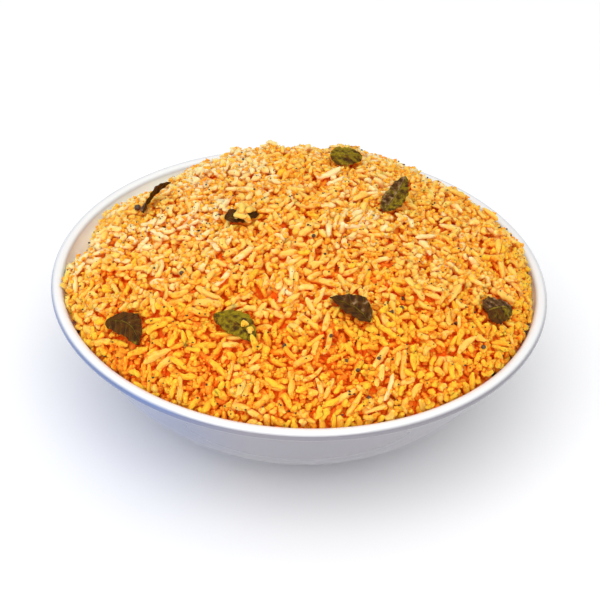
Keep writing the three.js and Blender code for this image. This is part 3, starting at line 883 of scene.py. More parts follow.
def dress(piece, slot, *nodes):
    """Lets a piece ride with the dish and hides the imported nodes that it stands for. The slot
    for its finish is not used.
    """
    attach(piece, ROOT)
    if nodes:
        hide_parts(*nodes)


def ring_faces(count, sides, flipped=False):
    """Corners and sizes of the faces that join count closed rings of points. The two points
    that follow the last ring close its two ends."""
    side = np.arange(sides)
    after = (side + 1) % sides
    ring = sides * np.arange(count - 1)[:, None]
    quads = columns(ring + side, ring + after, ring + sides + after, ring + sides + side)
    quads = quads.reshape(-1, 4)
    top = (count - 1) * sides
    first, last = count * sides, count * sides + 1
    caps = np.concatenate([columns(first, after, side), columns(last, top + side, top + after)])
    if flipped:
        quads, caps = (np.roll(faces[:, ::-1], 1, axis=1) for faces in (quads, caps))
    return np.concatenate([quads.ravel(), caps.ravel()]), np.repeat((4, 3), (len(quads), len(caps)))


def level_ring(radius, level, turns):
    return columns(*polar(radius, turns), level)


def revolved(outline, sides):
    """Points of a surface of revolution; the outline's two ends are on the axis."""
    turns = np.linspace(0.0, 2 * math.pi, sides, endpoint=False)
    rings = [level_ring(radius, level, turns) for radius, level in outline[1:-1]]
    ends = [[0.0, 0.0, outline[0][1]], [0.0, 0.0, outline[-1][1]]]
    return np.concatenate([*rings, ends])


# ---------------------------------------------------------------- a grain's mesh
GRAIN_SIDES = 8
GRAIN_RINGS = 7
GRAIN_KINDS = 24
BLUNTNESS = (2.4, 5.5)  # powers of the profile
# The rest are shares of a grain's radius.
TAPER = 0.2  # from end to end
WAIST = 0.09  # depth of the waves along a grain
GROOVE = 0.1
BOW = 0.55  # spread of the bend
GREATEST_BOW = 1.1
KINK = 0.35
ARCH = 0.4
ROUGHNESS = 0.17


def grain_forms(rng, kinds):
    """A few forms of grain, each of unit half length and unit radius: gently curved, a little
    lumpy, blunt, and slimmer at one end."""
    steps = -np.cos(np.linspace(0.0, math.pi, GRAIN_RINGS + 2))[1:-1]
    turns = np.linspace(0.0, 2 * math.pi, GRAIN_SIDES, endpoint=False)
    forms = []
    for _ in range(kinds):
        radius = (1 - np.abs(steps) ** rng.uniform(*BLUNTNESS)) ** 0.5
        radius = radius * (1 + rng.uniform(-TAPER, TAPER) * steps)
        radius = radius * (1 + WAIST * np.sin(rng.uniform(3, 7) * steps + rng.uniform(0, 6)))
        groove = 1 - GROOVE * np.cos(2 * turns + rng.uniform(0, 6))
        bow = np.clip(rng.normal(0.0, BOW), -GREATEST_BOW, GREATEST_BOW)
        kink = rng.uniform(-KINK, KINK)
        sway = bow * (steps**2 - 0.4) + kink * (steps**3 - 0.6 * steps)
        lift = ARCH * rng.uniform(-1, 1) * (steps**2 - 0.4)
        rings = radius[:, None] * groove[None, :]
        rings = rings * (1 + ROUGHNESS * rng.normal(size=rings.shape))
        side, rise = polar(rings, turns)
        points = columns(steps[:, None], side + sway[:, None], rise + lift[:, None]).reshape(-1, 3)
        ends = [[-1.0, sway[0], lift[0]], [1.0, sway[-1], lift[-1]]]
        forms.append(np.concatenate([points, ends]))
    return np.array(forms)


def grain_map():
    """Places in the map of one grain's corners, face by face, each place from 0 to 1."""
    side, ring = np.meshgrid(np.arange(GRAIN_SIDES), np.arange(1, GRAIN_RINGS))
    starts = columns(side, ring).reshape(-1, 1, 2)
    quads = starts + [(0, 0), (1, 0), (1, 1), (0, 1)]
    across = columns(np.arange(GRAIN_SIDES), 0)[:, None]
    first = across + [(0.5, 0), (1, 1), (0, 1)]
    last = across + [(0.5, GRAIN_RINGS + 1), (0, GRAIN_RINGS), (1, GRAIN_RINGS)]
    places = np.concatenate([quads.reshape(-1, 2), first.reshape(-1, 2), last.reshape(-1, 2)])
    return places / (GRAIN_SIDES, GRAIN_RINGS + 1)


def grain_axes(grains):
    """Each grain's middle, and its own axes: along it, across it and out of the heap."""
    over, up, normal = skin_frame(grains["across"], grains["along"])
    heading = grains["heading"][:, None]
    flat = unit(np.cos(heading) * over + np.sin(heading) * up)
    along = unit(flat + grains["slope"][:, None] * normal)
    across = unit(np.cross(normal, along))
    out = np.cross(along, across)
    middle = on_heap(grains["across"], grains["along"], grains["height"])
    return middle, along, across, out


MAP_MARGIN = 0.06  # of a cell of the map
WALL_SINK = 0.4  # how far a grain's side may press into the wall, out of sight
SMOOTHING = 45  # passes over the height field
OIL_AND_SHADE_DEPTHS = (-1.2, 2.2)  # from none of the painted shade and oil to all of it


def in_cells(places, count):
    """Copies of the same places, side by side in the cells of a square grid."""
    width = math.ceil(math.sqrt(count))
    cells = columns(np.arange(count) % width, np.arange(count) // width)
    return (cells[:, None, :] + MAP_MARGIN + (1 - 2 * MAP_MARGIN) * places[None, :, :]) / width


def lay_map(piece, places, count):
    """Gives each of a piece's count like parts its own cell of the map."""
    layer = piece.data.uv_layers.new(name="OFBake")
    layer.data.foreach_set("uv", in_cells(places, count).astype(np.float32).ravel())


def oil_and_shade_depth(field, points):
    """How deep points lie under the heap's smoothed top, from 0 to 1: there the rice is painted
    darker and redder, as shade in the hollows and the oil that gathers there.
    """
    top = field.top
    for _ in range(SMOOTHING):
        top = (top + np.roll(top, 1, 0) + np.roll(top, -1, 0)) / 3
        top = (top + np.roll(top, 1, 1) + np.roll(top, -1, 1)) / 3
    across, along, height = to_flat(points)
    return smoothstep(top[field.cells(across, along)] - height, *OIL_AND_SHADE_DEPTHS)


def within_wall(points):
    """Points drawn in to the bowl's wall where a grain would otherwise reach through it."""
    radius = np.hypot(points[..., 0], points[..., 1])
    wall = inside_radius(points[..., 2]) + WALL_SINK
    limit = np.where(points[..., 2] < BOWL_HEIGHT, np.minimum(radius, wall), radius)
    closer = limit / np.maximum(radius, CELL)
    return points * columns(closer, closer, 1.0)


def grain_piece(name, grains, tones, material, rng, field):
    """One mesh of many grains, with each grain's tone, the painted shade and oil on it, and its
    own place in the map."""
    count = len(tones)
    forms = grain_forms(rng, GRAIN_KINDS)[rng.integers(0, GRAIN_KINDS, count)]
    middle, along, across, out = grain_axes(grains)
    roll = rng.uniform(0, 2 * math.pi, count)[:, None, None]
    half, wide, thick = (grains[key][:, None, None] for key in ("half", "wide", "thick"))
    side, rise = rotated(forms[:, :, 1:2], forms[:, :, 2:3], roll)
    points = (
        middle[:, None, :]
        + forms[:, :, 0:1] * half * along[:, None, :]
        + side * wide * across[:, None, :]
        + rise * thick * out[:, None, :]
    )
    points = within_wall(points).reshape(-1, 3)
    corners, sizes = ring_faces(GRAIN_RINGS, GRAIN_SIDES)
    piece = piece_of_many(name, points, corners, sizes, count, material)
    add_values(piece, "tone", np.repeat(tones, len(points) // count))
    add_values(piece, "oil_and_shade", oil_and_shade_depth(field, points))
    lay_map(piece, grain_map(), count)
    return piece


# ---------------------------------------------------------------- finishes
PAINTED_COOL_INSIDE = (0.83, 1.0, 1.0)  # painted cool tint against the orange light from the rice
PAINTED_SHADE_BELOW_BEAD = (0.225, 0.21, 0.24)  # painted shade: the outside under the bead, coloured dark grey as it looks in shadow
PAINTED_BLUE_SHADE_LEFT = (0.10, 0.15, 0.32)  # painted shade with a painted bluish light: the same on the left, coloured dark blue
BEAD_LEVELS = (0.0538, 0.0526)  # in metres, from the bead's white to the painted shade
BLUE_PLACES = (-0.01, -0.055)  # in metres, from the painted grey shade to the painted blue
DUST = (0.36, 0.06, 0.006)
SPICE_AND_SHADE_TINT = (1.0, 0.5, 0.3)
SEED_TONES = ((0.020, 0.008, 0.004), (0.15, 0.07, 0.03))
SPECK_TONES = ((0.012, 0.006, 0.004), (0.06, 0.02, 0.008))
# Dark pits in a leaf, and the painted shade in its wrinkles.
DARK_LEAF = (0.045, 0.014, 0.003)
RIB_TONE = (0.30, 0.20, 0.03)
VEIN_TONE = (0.26, 0.19, 0.015)
VEINS = 46.0  # side veins, in radians along the leaf
VEIN_SLANT = 9.0


def glaze_finish(settings):
    sheet = new_sheet("white_glaze_painted_shade")
    ripple = sheet.noise(24.0, 1.0)
    pinholes = sheet.noise(0.8, 3.0).smooth(0.72, 0.80)
    level = sheet.split(sheet.place(), "Z")
    sideways = sheet.split(sheet.place(), "X")
    # Painted shade: below the bead the outside is coloured dark grey, and dark blue towards the left
    # where a bluish light falls.
    below = level.smooth(*BEAD_LEVELS) * (1 - sheet.attribute("inside"))
    # Painted cool tint inside, so that the orange light from the rice leaves it looking white.
    white = sheet.mix(sheet.attribute("inside"), tuple(settings.glaze), PAINTED_COOL_INSIDE)
    shaded = sheet.mix(sideways.smooth(*BLUE_PLACES), PAINTED_SHADE_BELOW_BEAD, PAINTED_BLUE_SHADE_LEFT)
    sheet.set(
        Base_Color=sheet.mix(below, white, shaded),
        Roughness=0.10 + 0.06 * ripple,
        Normal=sheet.bump(ripple + 0.02 * pinholes, 0.25, 0.35),
        Coat_Weight=0.5,
        Coat_Roughness=0.04,
    )
    return sheet.owner


def rice_finish(name, pale, strong, glow):
    """Cooked rice: each grain's tone runs from pale to strong, spice clings in spots, and deep in
    the hollows it is darker and redder, as painted shade and oil.
    """
    sheet = new_sheet(name)
    tone = sheet.attribute("tone")
    oil_and_shade = sheet.attribute("oil_and_shade")
    patches = sheet.noise(4.0, 2.0)
    stain = sheet.noise(1.1, 4.0, 0.65).smooth(0.50, 0.72)
    fine = sheet.noise(0.7, 4.0, 0.7)
    # Deep in the hollows the grains are darker: painted shade, and the oil that gathers there.
    share = tone + 1.2 * (patches - 0.5) + 0.6 * (fine - 0.5) + 0.7 * (oil_and_shade - 0.45)
    base = sheet.mix(share.smooth(0.0, 1.0), pale, strong)
    # A darker, redder copy of the strong colour: for spice stains, and for painted shade and oil deep
    # in the hollows.
    spiced = tuple(value * tint for value, tint in zip(strong, SPICE_AND_SHADE_TINT))
    base = sheet.mix((0.35 * stain + 0.9 * (oil_and_shade - 0.5)).smooth(0.0, 0.8), base, spiced)
    dust = sheet.noise(0.42, 2.0).smooth(0.66, 0.75)
    base = sheet.mix(0.45 * dust, base, DUST)
    sheet.set(
        Base_Color=base,
        Roughness=0.45 + 0.25 * patches,
        Normal=sheet.bump(fine, 0.12, 1.0),
        Subsurface_Weight=glow,
        Subsurface_Radius=(1.0, 0.85, 0.6),
        Subsurface_Scale=3.2 * MM,
        Specular_IOR_Level=0.13,
    )
    return sheet.owner


def bed_finish(deep, amber):
    """Oil and spice under the grains."""
    sheet = new_sheet("spiced_bed")
    blotches = sheet.noise(1.3, 4.0, 0.7)
    sheet.set(
        Base_Color=sheet.mix(blotches.smooth(0.35, 0.7), deep, amber),
        Roughness=0.5 + 0.2 * blotches,
        Normal=sheet.bump(sheet.noise(1.2, 4.0, 0.7), 1.2, 1.0),
        Specular_IOR_Level=0.08,
    )
    return sheet.owner


def seed_finish():
    sheet = new_sheet("mustard_seed")
    mottle = sheet.noise(0.5, 3.0)
    sheet.set(
        Base_Color=sheet.mix(mottle.smooth(0.3, 0.75), *SEED_TONES),
        Roughness=0.3 + 0.25 * mottle,
        Normal=sheet.bump(sheet.noise(0.18, 2.0), 0.04, 0.7),
    )
    return sheet.owner


def speck_finish():
    sheet = new_sheet("black_spice")
    mottle = sheet.noise(0.4, 2.0)
    sheet.set(
        Base_Color=sheet.mix(mottle, *SPECK_TONES),
        Roughness=0.5 + 0.2 * mottle,
    )
    return sheet.owner


def leaf_finish(name, settings, green, sheen):
    """A fried curry leaf: brown and green in patches, with painted sheen on its crests and painted
    shade in its wrinkles, ribbed.
    """
    sheet = new_sheet(name)
    across = sheet.attribute("across")
    along = sheet.attribute("along")
    crest = sheet.attribute("crest")
    left = across.smooth(-0.12, 0.12)
    patches = sheet.noise(3.2, 3.0, 0.6)
    mottle = sheet.noise(0.9, 4.0, 0.7)
    rib = 1 - abs(across).smooth(0.015, 0.085)
    veins = (VEINS * along - VEIN_SLANT * abs(across)).sine().smooth(0.55, 1.0)
    greens = green[1] + (green[0] - green[1]) * left
    painted_sheen_share = sheen[1] + (sheen[0] - sheen[1]) * left
    green_here = (0.6 * patches + 0.4 * mottle + 0.8 * greens - 0.4 + 0.2 * rib).smooth(0.42, 0.62)
    glint = sheet.noise(0.5, 3.0, 0.7)
    painted_sheen_here = (0.3 * crest + 0.6 * mottle + 0.9 * glint + 0.7 * painted_sheen_share - 0.86).smooth(0.4, 0.68)
    base = sheet.mix(green_here, tuple(settings.brown), tuple(settings.green))
    # Painted shade: the leaf is darker down in its wrinkles.
    base = sheet.mix((0.5 - 0.6 * crest).smooth(0.3, 0.9), base, DARK_LEAF)
    # Painted sheen: a highlight painted on the crests and in glints.
    base = sheet.mix(0.6 * painted_sheen_here, base, tuple(settings.painted_sheen))
    base = sheet.mix(0.4 * rib, base, RIB_TONE)
    base = sheet.mix(0.16 * veins, base, VEIN_TONE)
    pits = sheet.noise(0.5, 3.0).smooth(0.5, 0.7)
    base = sheet.mix(0.6 * pits, base, DARK_LEAF)
    height = mottle + 0.35 * (1 - veins) - 0.7 * rib
    sheet.set(
        Base_Color=base,
        Roughness=0.5 - 0.22 * mottle,
        Normal=sheet.bump(height, 0.5, 1.0),
        Specular_IOR_Level=0.08,
    )
    return sheet.owner


def floor_finish(settings):
    sheet = new_sheet("pale_floor")
    grain = sheet.noise(40.0, 2.0)
    near = tuple(settings.floor)
    far = tuple(0.985 * value for value in near)
    sheet.set(Base_Color=sheet.mix(grain, near, far), Roughness=0.7 + 0.1 * grain)
    return sheet.owner


# ---------------------------------------------------------------- operators
class GHEERICE_OT_bowl(bpy.types.Operator):
    """Turn the glazed bowl with its rolled rim and foot ring"""

    bl_idname = "gheerice.bowl"
    bl_label = "Glazed bowl"

    def execute(self, context):
        settings = context.scene.ghee_bowl
        outline = bowl_outline()
        points = revolved(outline, settings.sides)
        corners, sizes = ring_faces(len(outline) - 2, settings.sides)
        piece = piece_from("glazed_bowl", points, corners, sizes, glaze_finish(settings))
        blend_start = len(outline) - (WALL_RINGS - 1) - (FLOOR_RINGS - 1) - BEAD_BLEND
        inside = np.clip((np.arange(len(outline)) - blend_start) / BEAD_BLEND, 0.0, 1.0)
        add_values(piece, "inside", np.append(np.repeat(inside[1:-1], settings.sides), (0, 1)))
        dress(piece, "glazed_white", "bowl")
        return {"FINISHED"}


BED_SIDES = 144
BED_RINGS = 60
BED_START = 1.5  # radius of the ring around the crown
BED_LUMPS = (0.5, (1.9, 2.3), (0.0, 0.0))  # height, lengths per radian, phases
BED_ROUGHNESS = 0.4
BED_GAP = 0.5  # between the bed and the bowl
BED_SHARES = np.linspace(0.92, 0.12, 8)  # levels of its lower rings, from the floor upwards
BED_DROP = 6.0  # from the heap's edge to the top of those levels


def bed_rings():
    """The bed's rings from the crown to the wall and down to the floor of the bowl."""
    turns = np.linspace(0.0, 2 * math.pi, BED_SIDES, endpoint=False)
    rng = np.random.default_rng(RANDOM_SEED + 1)
    rings = []
    for distance in np.linspace(BED_START, DOME_ARC, BED_RINGS):
        across, along = polar(distance, turns)
        lumps = wave(BED_LUMPS, across, along) + BED_ROUGHNESS * rng.random(BED_SIDES)
        rings.append(on_heap(across, along, relief(across, along) - (BED_DEPTH - lumps)))
    top = rings[-1][:, 2].mean() - BED_DROP
    for share in BED_SHARES:
        level = FLOOR_LEVEL + BED_GAP + share * (top - FLOOR_LEVEL)
        rings.append(level_ring(inside_radius(level) - BED_GAP, level, turns))
    return np.array(rings)


class GHEERICE_OT_bed(bpy.types.Operator):
    """Lay the bed of oily rice that shows between the grains"""

    bl_idname = "gheerice.bed"
    bl_label = "Bed of rice"

    def execute(self, context):
        rice = context.scene.ghee_rice
        rings = bed_rings()
        crown = on_heap(np.zeros(1), np.zeros(1), -BED_DEPTH)
        bottom = [[0.0, 0.0, FLOOR_LEVEL + BED_GAP]]
        points = np.concatenate([rings.reshape(-1, 3), crown, bottom])
        corners, sizes = ring_faces(len(rings), BED_SIDES, flipped=True)
        material = bed_finish(tuple(rice.deep), tuple(rice.amber))
        piece = piece_from("rice_bed", points, corners, sizes, material)
        dress(piece, "spiced_rice", "rice_heap")
        return {"FINISHED"}


PALE_SHARE = 0.22  # of all the grains
AMBER_SHARE = 0.39
PALE_SPAN = 0.95  # of tone, from the palest grains to the golden ones
AMBER_SPAN = 0.55  # from the golden grains to the most amber
PATCH_WAVES = 6
PATCH_SIZES = (3, 14)
# What a grain's tone is made of: the distances or heights, in millimetres, between which each
# cause sets in, and the tone that it gives or takes.
TONE_START = -0.12
TONE_SPREAD = 0.14
# Painted shade in front, on the right and on the front left, and painted light on the upper left:
# these darken or pale the grains by where they lie.
FRONT, FRONT_PAINTED_SHADE = (5.0, 65.0), 0.6
RIGHT, RIGHT_PAINTED_SHADE = (15.0, 80.0), 0.42
LEFT, FRONT_LEFT_PAINTED_SHADE = (5.0, 60.0), 0.32
UPPER_LEFT, UPPER_LEFT_PAINTED_LIGHT = (10.0, 90.0), 0.22
LONG, LONG_TONE = (3.3, 5.0), 0.3
BURIED, BURIED_TONE = (-0.6, 2.8), 0.7
PATCH_TONE = 0.3
GRAIN_GLOW = 0.85
CRUMB_GLOW = 0.3


def patchy(x, y, seed):
    """Slow patches over the heap, from about -1 to 1."""
    rng = np.random.default_rng(seed)
    total = np.zeros(len(x))
    for _ in range(PATCH_WAVES):
        angle, size, phase = rng.uniform(0, 6.28), rng.uniform(*PATCH_SIZES), rng.uniform(0, 6.28)
        total = total + np.sin((x * math.cos(angle) + y * math.sin(angle)) / size + phase)
    return 2 * total / PATCH_WAVES


def grain_tones(grains, rng):
    """How much colour each grain gets: more in front, on the right and deep down, and less on
    the upper left and in long grains. In front, on the right and on the front left the extra
    colour is painted shade, and the paler upper left is painted light."""
    x, y, _ = on_heap(grains["across"], grains["along"], grains["height"]).T
    front = smoothstep(-y, *FRONT)
    right = smoothstep(x, *RIGHT)
    front_left = front * smoothstep(-x, *LEFT)
    upper_left = smoothstep(0.6 * y - x, *UPPER_LEFT)
    long = smoothstep(grains["half"], *LONG)
    buried = smoothstep(-grains["height"], *BURIED)
    chance = rng.normal(0.0, TONE_SPREAD, len(x))
    tone = chance + PATCH_TONE * patchy(x, y, RANDOM_SEED + 3)
    tone = tone + FRONT_PAINTED_SHADE * front + RIGHT_PAINTED_SHADE * right + FRONT_LEFT_PAINTED_SHADE * front_left
    tone = tone - UPPER_LEFT_PAINTED_LIGHT * upper_left - LONG_TONE * long + BURIED_TONE * buried
    return tone + TONE_START


def between(first, second, share=0.25):
    """The colour that lies a share of the way from first to second."""
    return tuple((1 - share) * a + share * b for a, b in zip(first, second))


class GHEERICE_OT_grains(bpy.types.Operator):
    """Drop the long grains on the heap and sort them by colour"""

    bl_idname = "gheerice.grains"
    bl_label = "Grains of rice"

    def execute(self, context):
        rice = context.scene.ghee_rice
        field, grains = heap_of_grains(rice.grains, rice.grain_length / MM, rice.grain_width / MM)
        rng = np.random.default_rng(RANDOM_SEED + 2)
        tone = grain_tones(grains, rng)
        first, second = np.quantile(tone, (PALE_SHARE, 1 - AMBER_SHARE))
        pale, golden, amber = tuple(rice.pale), tuple(rice.golden), tuple(rice.amber)
        kinds = (
            ("grains_pale", first - PALE_SPAN, first, pale, golden),
            ("grains_golden", first, second, between(golden, pale), between(golden, amber)),
            ("grains_amber", second, second + AMBER_SPAN, golden, amber),
        )
        for kind, (name, low, high, light, dark) in enumerate(kinds):
            chosen = (tone >= first).astype(int) + (tone >= second) == kind
            tones = np.clip((tone[chosen] - low) / (high - low), 0.0, 1.0)
            picked = {key: values[chosen] for key, values in grains.items()}
            material = rice_finish(name, light, dark, GRAIN_GLOW)
            dress(grain_piece(name, picked, tones, material, rng, field), "spiced_rice")
        return {"FINISHED"}


# Kinds of small thing: subdivisions of the ball, flatness and lumpiness.
CRUMB = (1, 0.8, 0.9)
SEED = (3, 0.94, 0.03)
SPECK = (1, 0.6, 0.5)
BALL_WIDTHS = (0.7, 1.0)  # across, as shares of their length
CRUMB_RADII = (0.32, 0.9)
CRUMB_MARGIN = 3.0  # from the wall
CRUMB_SPREAD = 2.0  # how far chance outweighs the wish for low places
OFF_LEAVES = 9.0  # and how much the leaves are shunned
CRUMB_TONES = (0.1, 0.6)
CRUMB_OIL_AND_SHADE = 0.45
SEED_RADII = (0.72, 0.92)
HIGHEST_SEED = 1.6  # over the bare dome
SPECK_RADII = (0.22, 0.3, 0.4, 0.5)
SPECK_SHARES = (0.34, 0.36, 0.22, 0.08)  # of the specks, for each radius
SPECK_MARGIN = 2.5


def ball_form(subdivisions):
    """Corners and faces of a unit ball made of triangles."""
    ball = bmesh.new()
    bmesh.ops.create_icosphere(ball, subdivisions=subdivisions, radius=1.0)
    points = np.array([vertex.co[:] for vertex in ball.verts])
    faces = np.array([[vertex.index for vertex in face.verts] for face in ball.faces])
    ball.free()
    return points, faces


def scatter_piece(name, kind, middles, radii, rng, material):
    """One mesh of many small lumpy balls of one kind: subdivisions, flatness and lumpiness."""
    subdivisions, flatness, lumpiness = kind
    form, faces = ball_form(subdivisions)
    count = len(middles)
    lumps = 1 + lumpiness * (rng.random((count, len(form), 1)) - 0.5)
    widths = rng.uniform(*BALL_WIDTHS, count)
    stretch = columns(1.0, widths, flatness)
    shapes = form[None] * lumps * stretch[:, None, :] * radii[:, None, None]
    spin = rng.uniform(0, 2 * math.pi, count)[:, None]
    shapes = columns(*rotated(shapes[:, :, 0], shapes[:, :, 1], spin), shapes[:, :, 2])
    points = (middles[:, None, :] + shapes).reshape(-1, 3)
    sizes = np.full(len(faces), 3)
    piece = piece_of_many(name, points, faces.ravel(), sizes, count, material)
    triangle = np.array([(0.0, 0.0), (1.0, 0.0), (0.5, 1.0)])
    lay_map(piece, in_cells(triangle, len(faces)).reshape(-1, 2), count)
    dress(piece, "spiced_rice")
    return piece


class GHEERICE_OT_spice(bpy.types.Operator):
    """Scatter crumbs of rice, mustard seeds and specks of spice on the grains"""

    bl_idname = "gheerice.spice"
    bl_label = "Crumbs, seeds and specks"

    def execute(self, context):
        rice = context.scene.ghee_rice
        field, _ = heap_of_grains(rice.grains, rice.grain_length / MM, rice.grain_width / MM)
        rng = np.random.default_rng(RANDOM_SEED + 4)
        self.crumbs(rice, field, rng)
        self.seeds(field, rng)
        self.specks(rice, field, rng)
        return {"FINISHED"}

    def crumbs(self, rice, field, rng):
        across, along = random_spots(rng, 2 * rice.crumbs, CRUMB_MARGIN)
        height = field.height_at(across, along)
        wanted = height - relief(across, along) + rng.normal(0.0, CRUMB_SPREAD, len(height))
        wanted = wanted + OFF_LEAVES * field.on_leaf[field.cells(across, along)]
        low = np.argsort(wanted)[: rice.crumbs]
        radii = rng.uniform(*CRUMB_RADII, len(low))
        middles = on_heap(across[low], along[low], height[low] + 0.2 * radii)
        material = rice_finish("rice_crumbs", tuple(rice.golden), tuple(rice.amber), CRUMB_GLOW)
        piece = scatter_piece("rice_crumbs", CRUMB, middles, radii, rng, material)
        palest, strongest = CRUMB_TONES
        tones = palest + (strongest - palest) * rng.random(len(low))
        vertices = len(piece.data.vertices)
        add_values(piece, "tone", np.repeat(tones, vertices // len(low)))
        add_values(piece, "oil_and_shade", np.full(vertices, CRUMB_OIL_AND_SHADE))

    def seeds(self, field, rng):
        across, along = flat_from_plan(*np.array(SEED_SPOTS).T)
        radii = rng.uniform(*SEED_RADII, len(across))
        radii[-1] = BIG_SEED
        height = np.minimum(field.height_at(across, along), HIGHEST_SEED)
        middles = on_heap(across, along, height + 0.45 * radii)
        scatter_piece("mustard_seeds", SEED, middles, radii, rng, seed_finish())

    def specks(self, rice, field, rng):
        across, along = random_spots(rng, rice.specks, SPECK_MARGIN)
        bare = ~field.on_leaf[field.cells(across, along)]
        across, along = across[bare], along[bare]
        radii = rng.choice(SPECK_RADII, len(across), p=SPECK_SHARES)
        middles = on_heap(across, along, field.height_at(across, along) + 0.35 * radii)
        scatter_piece("spice_specks", SPECK, middles, radii, rng, speck_finish())


LEAF_ROWS = 56
LEAF_COLUMNS = 28
MIDRIB = (0.28, 0.09)  # depth of its groove, and width as a share of half the leaf's
VEIN_HEIGHT = 0.10
THINNEST = 0.15  # at the leaf's border, of its thickness squared


def leaf_points(leaf, thickness):
    """The upper and lower faces of a leaf in its own frame, with its fine relief."""
    along, across = np.linspace(0, 1, LEAF_ROWS + 1), np.linspace(-1, 1, LEAF_COLUMNS + 1)
    along, across = (grid.ravel() for grid in np.meshgrid(along, across, indexing="ij"))
    surface = leaf_surface(leaf, along, across)
    crests = leaf_crumple(leaf, surface[:, 0], surface[:, 1]) / CRUMPLE
    groove = -MIDRIB[0] * np.exp(-((across / MIDRIB[1]) ** 2))
    veins = np.sin(VEINS * along - VEIN_SLANT * np.abs(across)) * np.abs(across) ** 0.5
    surface[:, 2] += groove + VEIN_HEIGHT * veins
    edge = np.clip(1.0 - np.abs(across) ** 6, THINNEST, 1.0) ** 0.5
    upper, lower = surface.copy(), surface.copy()
    upper[:, 2] += 0.5 * thickness * edge
    lower[:, 2] -= 0.5 * thickness * edge
    return np.concatenate([upper, lower]), along, across, crests


def leaf_mesh(leaf, number, settings):
    origin, axes = leaf_frame(leaf)
    points, along, across, crests = leaf_points(leaf, settings.thickness / MM)
    width = LEAF_COLUMNS + 1
    layer = (LEAF_ROWS + 1) * width
    grid = np.arange(layer).reshape(LEAF_ROWS + 1, width)
    corner = grid[:-1, :-1].ravel()
    upper = columns(corner, corner + width, corner + width + 1, corner + 1)
    lower = layer + upper[:, ::-1]
    border = np.concatenate([grid[:-1, 0], grid[-1, :-1], grid[:0:-1, -1], grid[0, :0:-1]])
    after = np.roll(border, -1)
    rim = columns(border, layer + border, layer + after, after)
    corners = np.concatenate([upper, lower, rim]).ravel()
    sizes = np.full(len(corners) // 4, 4)
    green, sheen = LEAF_GREEN[number - 1], LEAF_PAINTED_SHEEN[number - 1]
    material = leaf_finish(f"fried_leaf_{number}", settings, green, sheen)
    name = f"fried_curry_leaf_{number}"
    piece = piece_from(name, points @ axes + origin, corners, sizes, material)
    for key, values in (("along", along), ("across", across), ("crest", crests)):
        add_values(piece, key, np.tile(values, 2))
    dress(piece, "fried_leaf", f"curry_leaf_{number}")


class GHEERICE_OT_leaves(bpy.types.Operator):
    """Lay the fried curry leaves on the rice"""

    bl_idname = "gheerice.leaves"
    bl_label = "Curry leaves"

    def execute(self, context):
        settings = context.scene.ghee_leaf
        for number, leaf in enumerate(leaf_records(), start=1):
            leaf_mesh(leaf, number, settings)
        return {"FINISHED"}


def add_light(name, kind, power):
    """A round soft light that doesn't show itself."""
    place, size, tint = kind
    light = bpy.data.lights.new(name, "AREA")
    light.shape = "DISK"
    light.size = size
    light.energy = power
    light.color = tint
    made = bpy.data.objects.new(name, light)
    made.visible_camera = False
    made.location = place
    made.rotation_euler = (LIGHT_AIM - Vector(place)).to_track_quat("-Z", "Y").to_euler()
    bpy.context.scene.collection.objects.link(made)


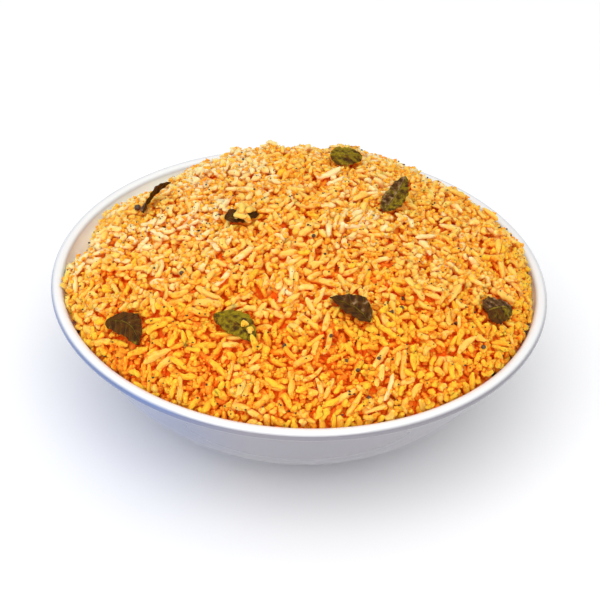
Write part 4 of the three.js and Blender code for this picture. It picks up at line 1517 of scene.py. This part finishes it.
class GHEERICE_OT_stage(bpy.types.Operator):
    """Set the floor, the soft lights and the camera"""

    bl_idname = "gheerice.stage"
    bl_label = "Floor, lights and camera"

    def execute(self, context):
        settings = context.scene.ghee_stage
        scene = context.scene
        self.floor(settings)
        add_light("key_light", KEY_LIGHT, settings.key)
        add_light("side_light", SIDE_LIGHT, settings.fill)
        self.sky(scene, settings.sky)
        scene.view_settings.view_transform = "Standard"
        scene.cycles.diffuse_bounces = DIFFUSE_BOUNCES
        scene.cycles.max_bounces = ALL_BOUNCES
        self.camera(scene)
        return {"FINISHED"}

    def sky(self, scene, strength):
        """A soft sky, bright overhead and dim near the floor."""
        scene.world = bpy.data.worlds.new("soft_sky")
        sheet = Sheet(scene.world, "Background")
        up = sheet.split(sheet.node("ShaderNodeTexCoord", output="Generated"), "Z")
        sheet.set(Color=sheet.mix(up.smooth(0.05, 0.6), SKY_LOW, SKY_HIGH), Strength=strength)

    def floor(self, settings):
        points = FLOOR_HALF * np.array([(-1, -1, 0), (1, -1, 0), (1, 1, 0), (-1, 1, 0)])
        piece_from("pale_floor", points, range(4), [4], floor_finish(settings))

    def camera(self, scene):
        data = bpy.data.cameras.new("camera")
        data.lens = CAMERA_LENS
        data.sensor_width = SENSOR_WIDTH
        camera = bpy.data.objects.new("camera", data)
        scene.collection.objects.link(camera)
        back = Vector((0.0, -math.cos(CAMERA_ELEVATION), math.sin(CAMERA_ELEVATION)))
        camera.location = CAMERA_AIM + CAMERA_DISTANCE * back
        camera.rotation_mode = "QUATERNION"
        facing = (-back).to_track_quat("-Z", "Y")
        camera.rotation_quaternion = facing @ Quaternion((0.0, 0.0, 1.0), CAMERA_ROLL)
        scene.camera = camera


class GHEERICE_PT_panel(bpy.types.Panel):
    """Lists the steps that build the dish"""

    bl_label = "Ghee Rice"
    bl_idname = "GHEERICE_PT_panel"
    bl_space_type = "VIEW_3D"
    bl_region_type = "UI"
    bl_category = "Ghee Rice"

    def draw(self, context):
        for group in SETTINGS:
            box = self.layout.box()
            for key in SETTINGS[group].__annotations__:
                box.prop(getattr(context.scene, group), key)
        for step in STEPS:
            self.layout.operator(step.bl_idname)


SETTINGS = {
    "ghee_bowl": BowlSettings,
    "ghee_rice": RiceSettings,
    "ghee_leaf": LeafSettings,
    "ghee_stage": StageSettings,
}
STEPS = (
    GHEERICE_OT_bowl,
    GHEERICE_OT_bed,
    GHEERICE_OT_grains,
    GHEERICE_OT_spice,
    GHEERICE_OT_leaves,
    GHEERICE_OT_stage,
)


def register():
    for made in (*SETTINGS.values(), *STEPS, GHEERICE_PT_panel):
        bpy.utils.register_class(made)
    for group, settings in SETTINGS.items():
        setattr(bpy.types.Scene, group, PointerProperty(type=settings))


def unregister():
    for group in SETTINGS:
        delattr(bpy.types.Scene, group)
    for made in (GHEERICE_PT_panel, *reversed(STEPS), *SETTINGS.values()):
        bpy.utils.unregister_class(made)


def main():
    register()
    for step in STEPS:
        family, name = step.bl_idname.split(".")
        getattr(getattr(bpy.ops, family), name)()


if __name__ == "__main__":
    main()
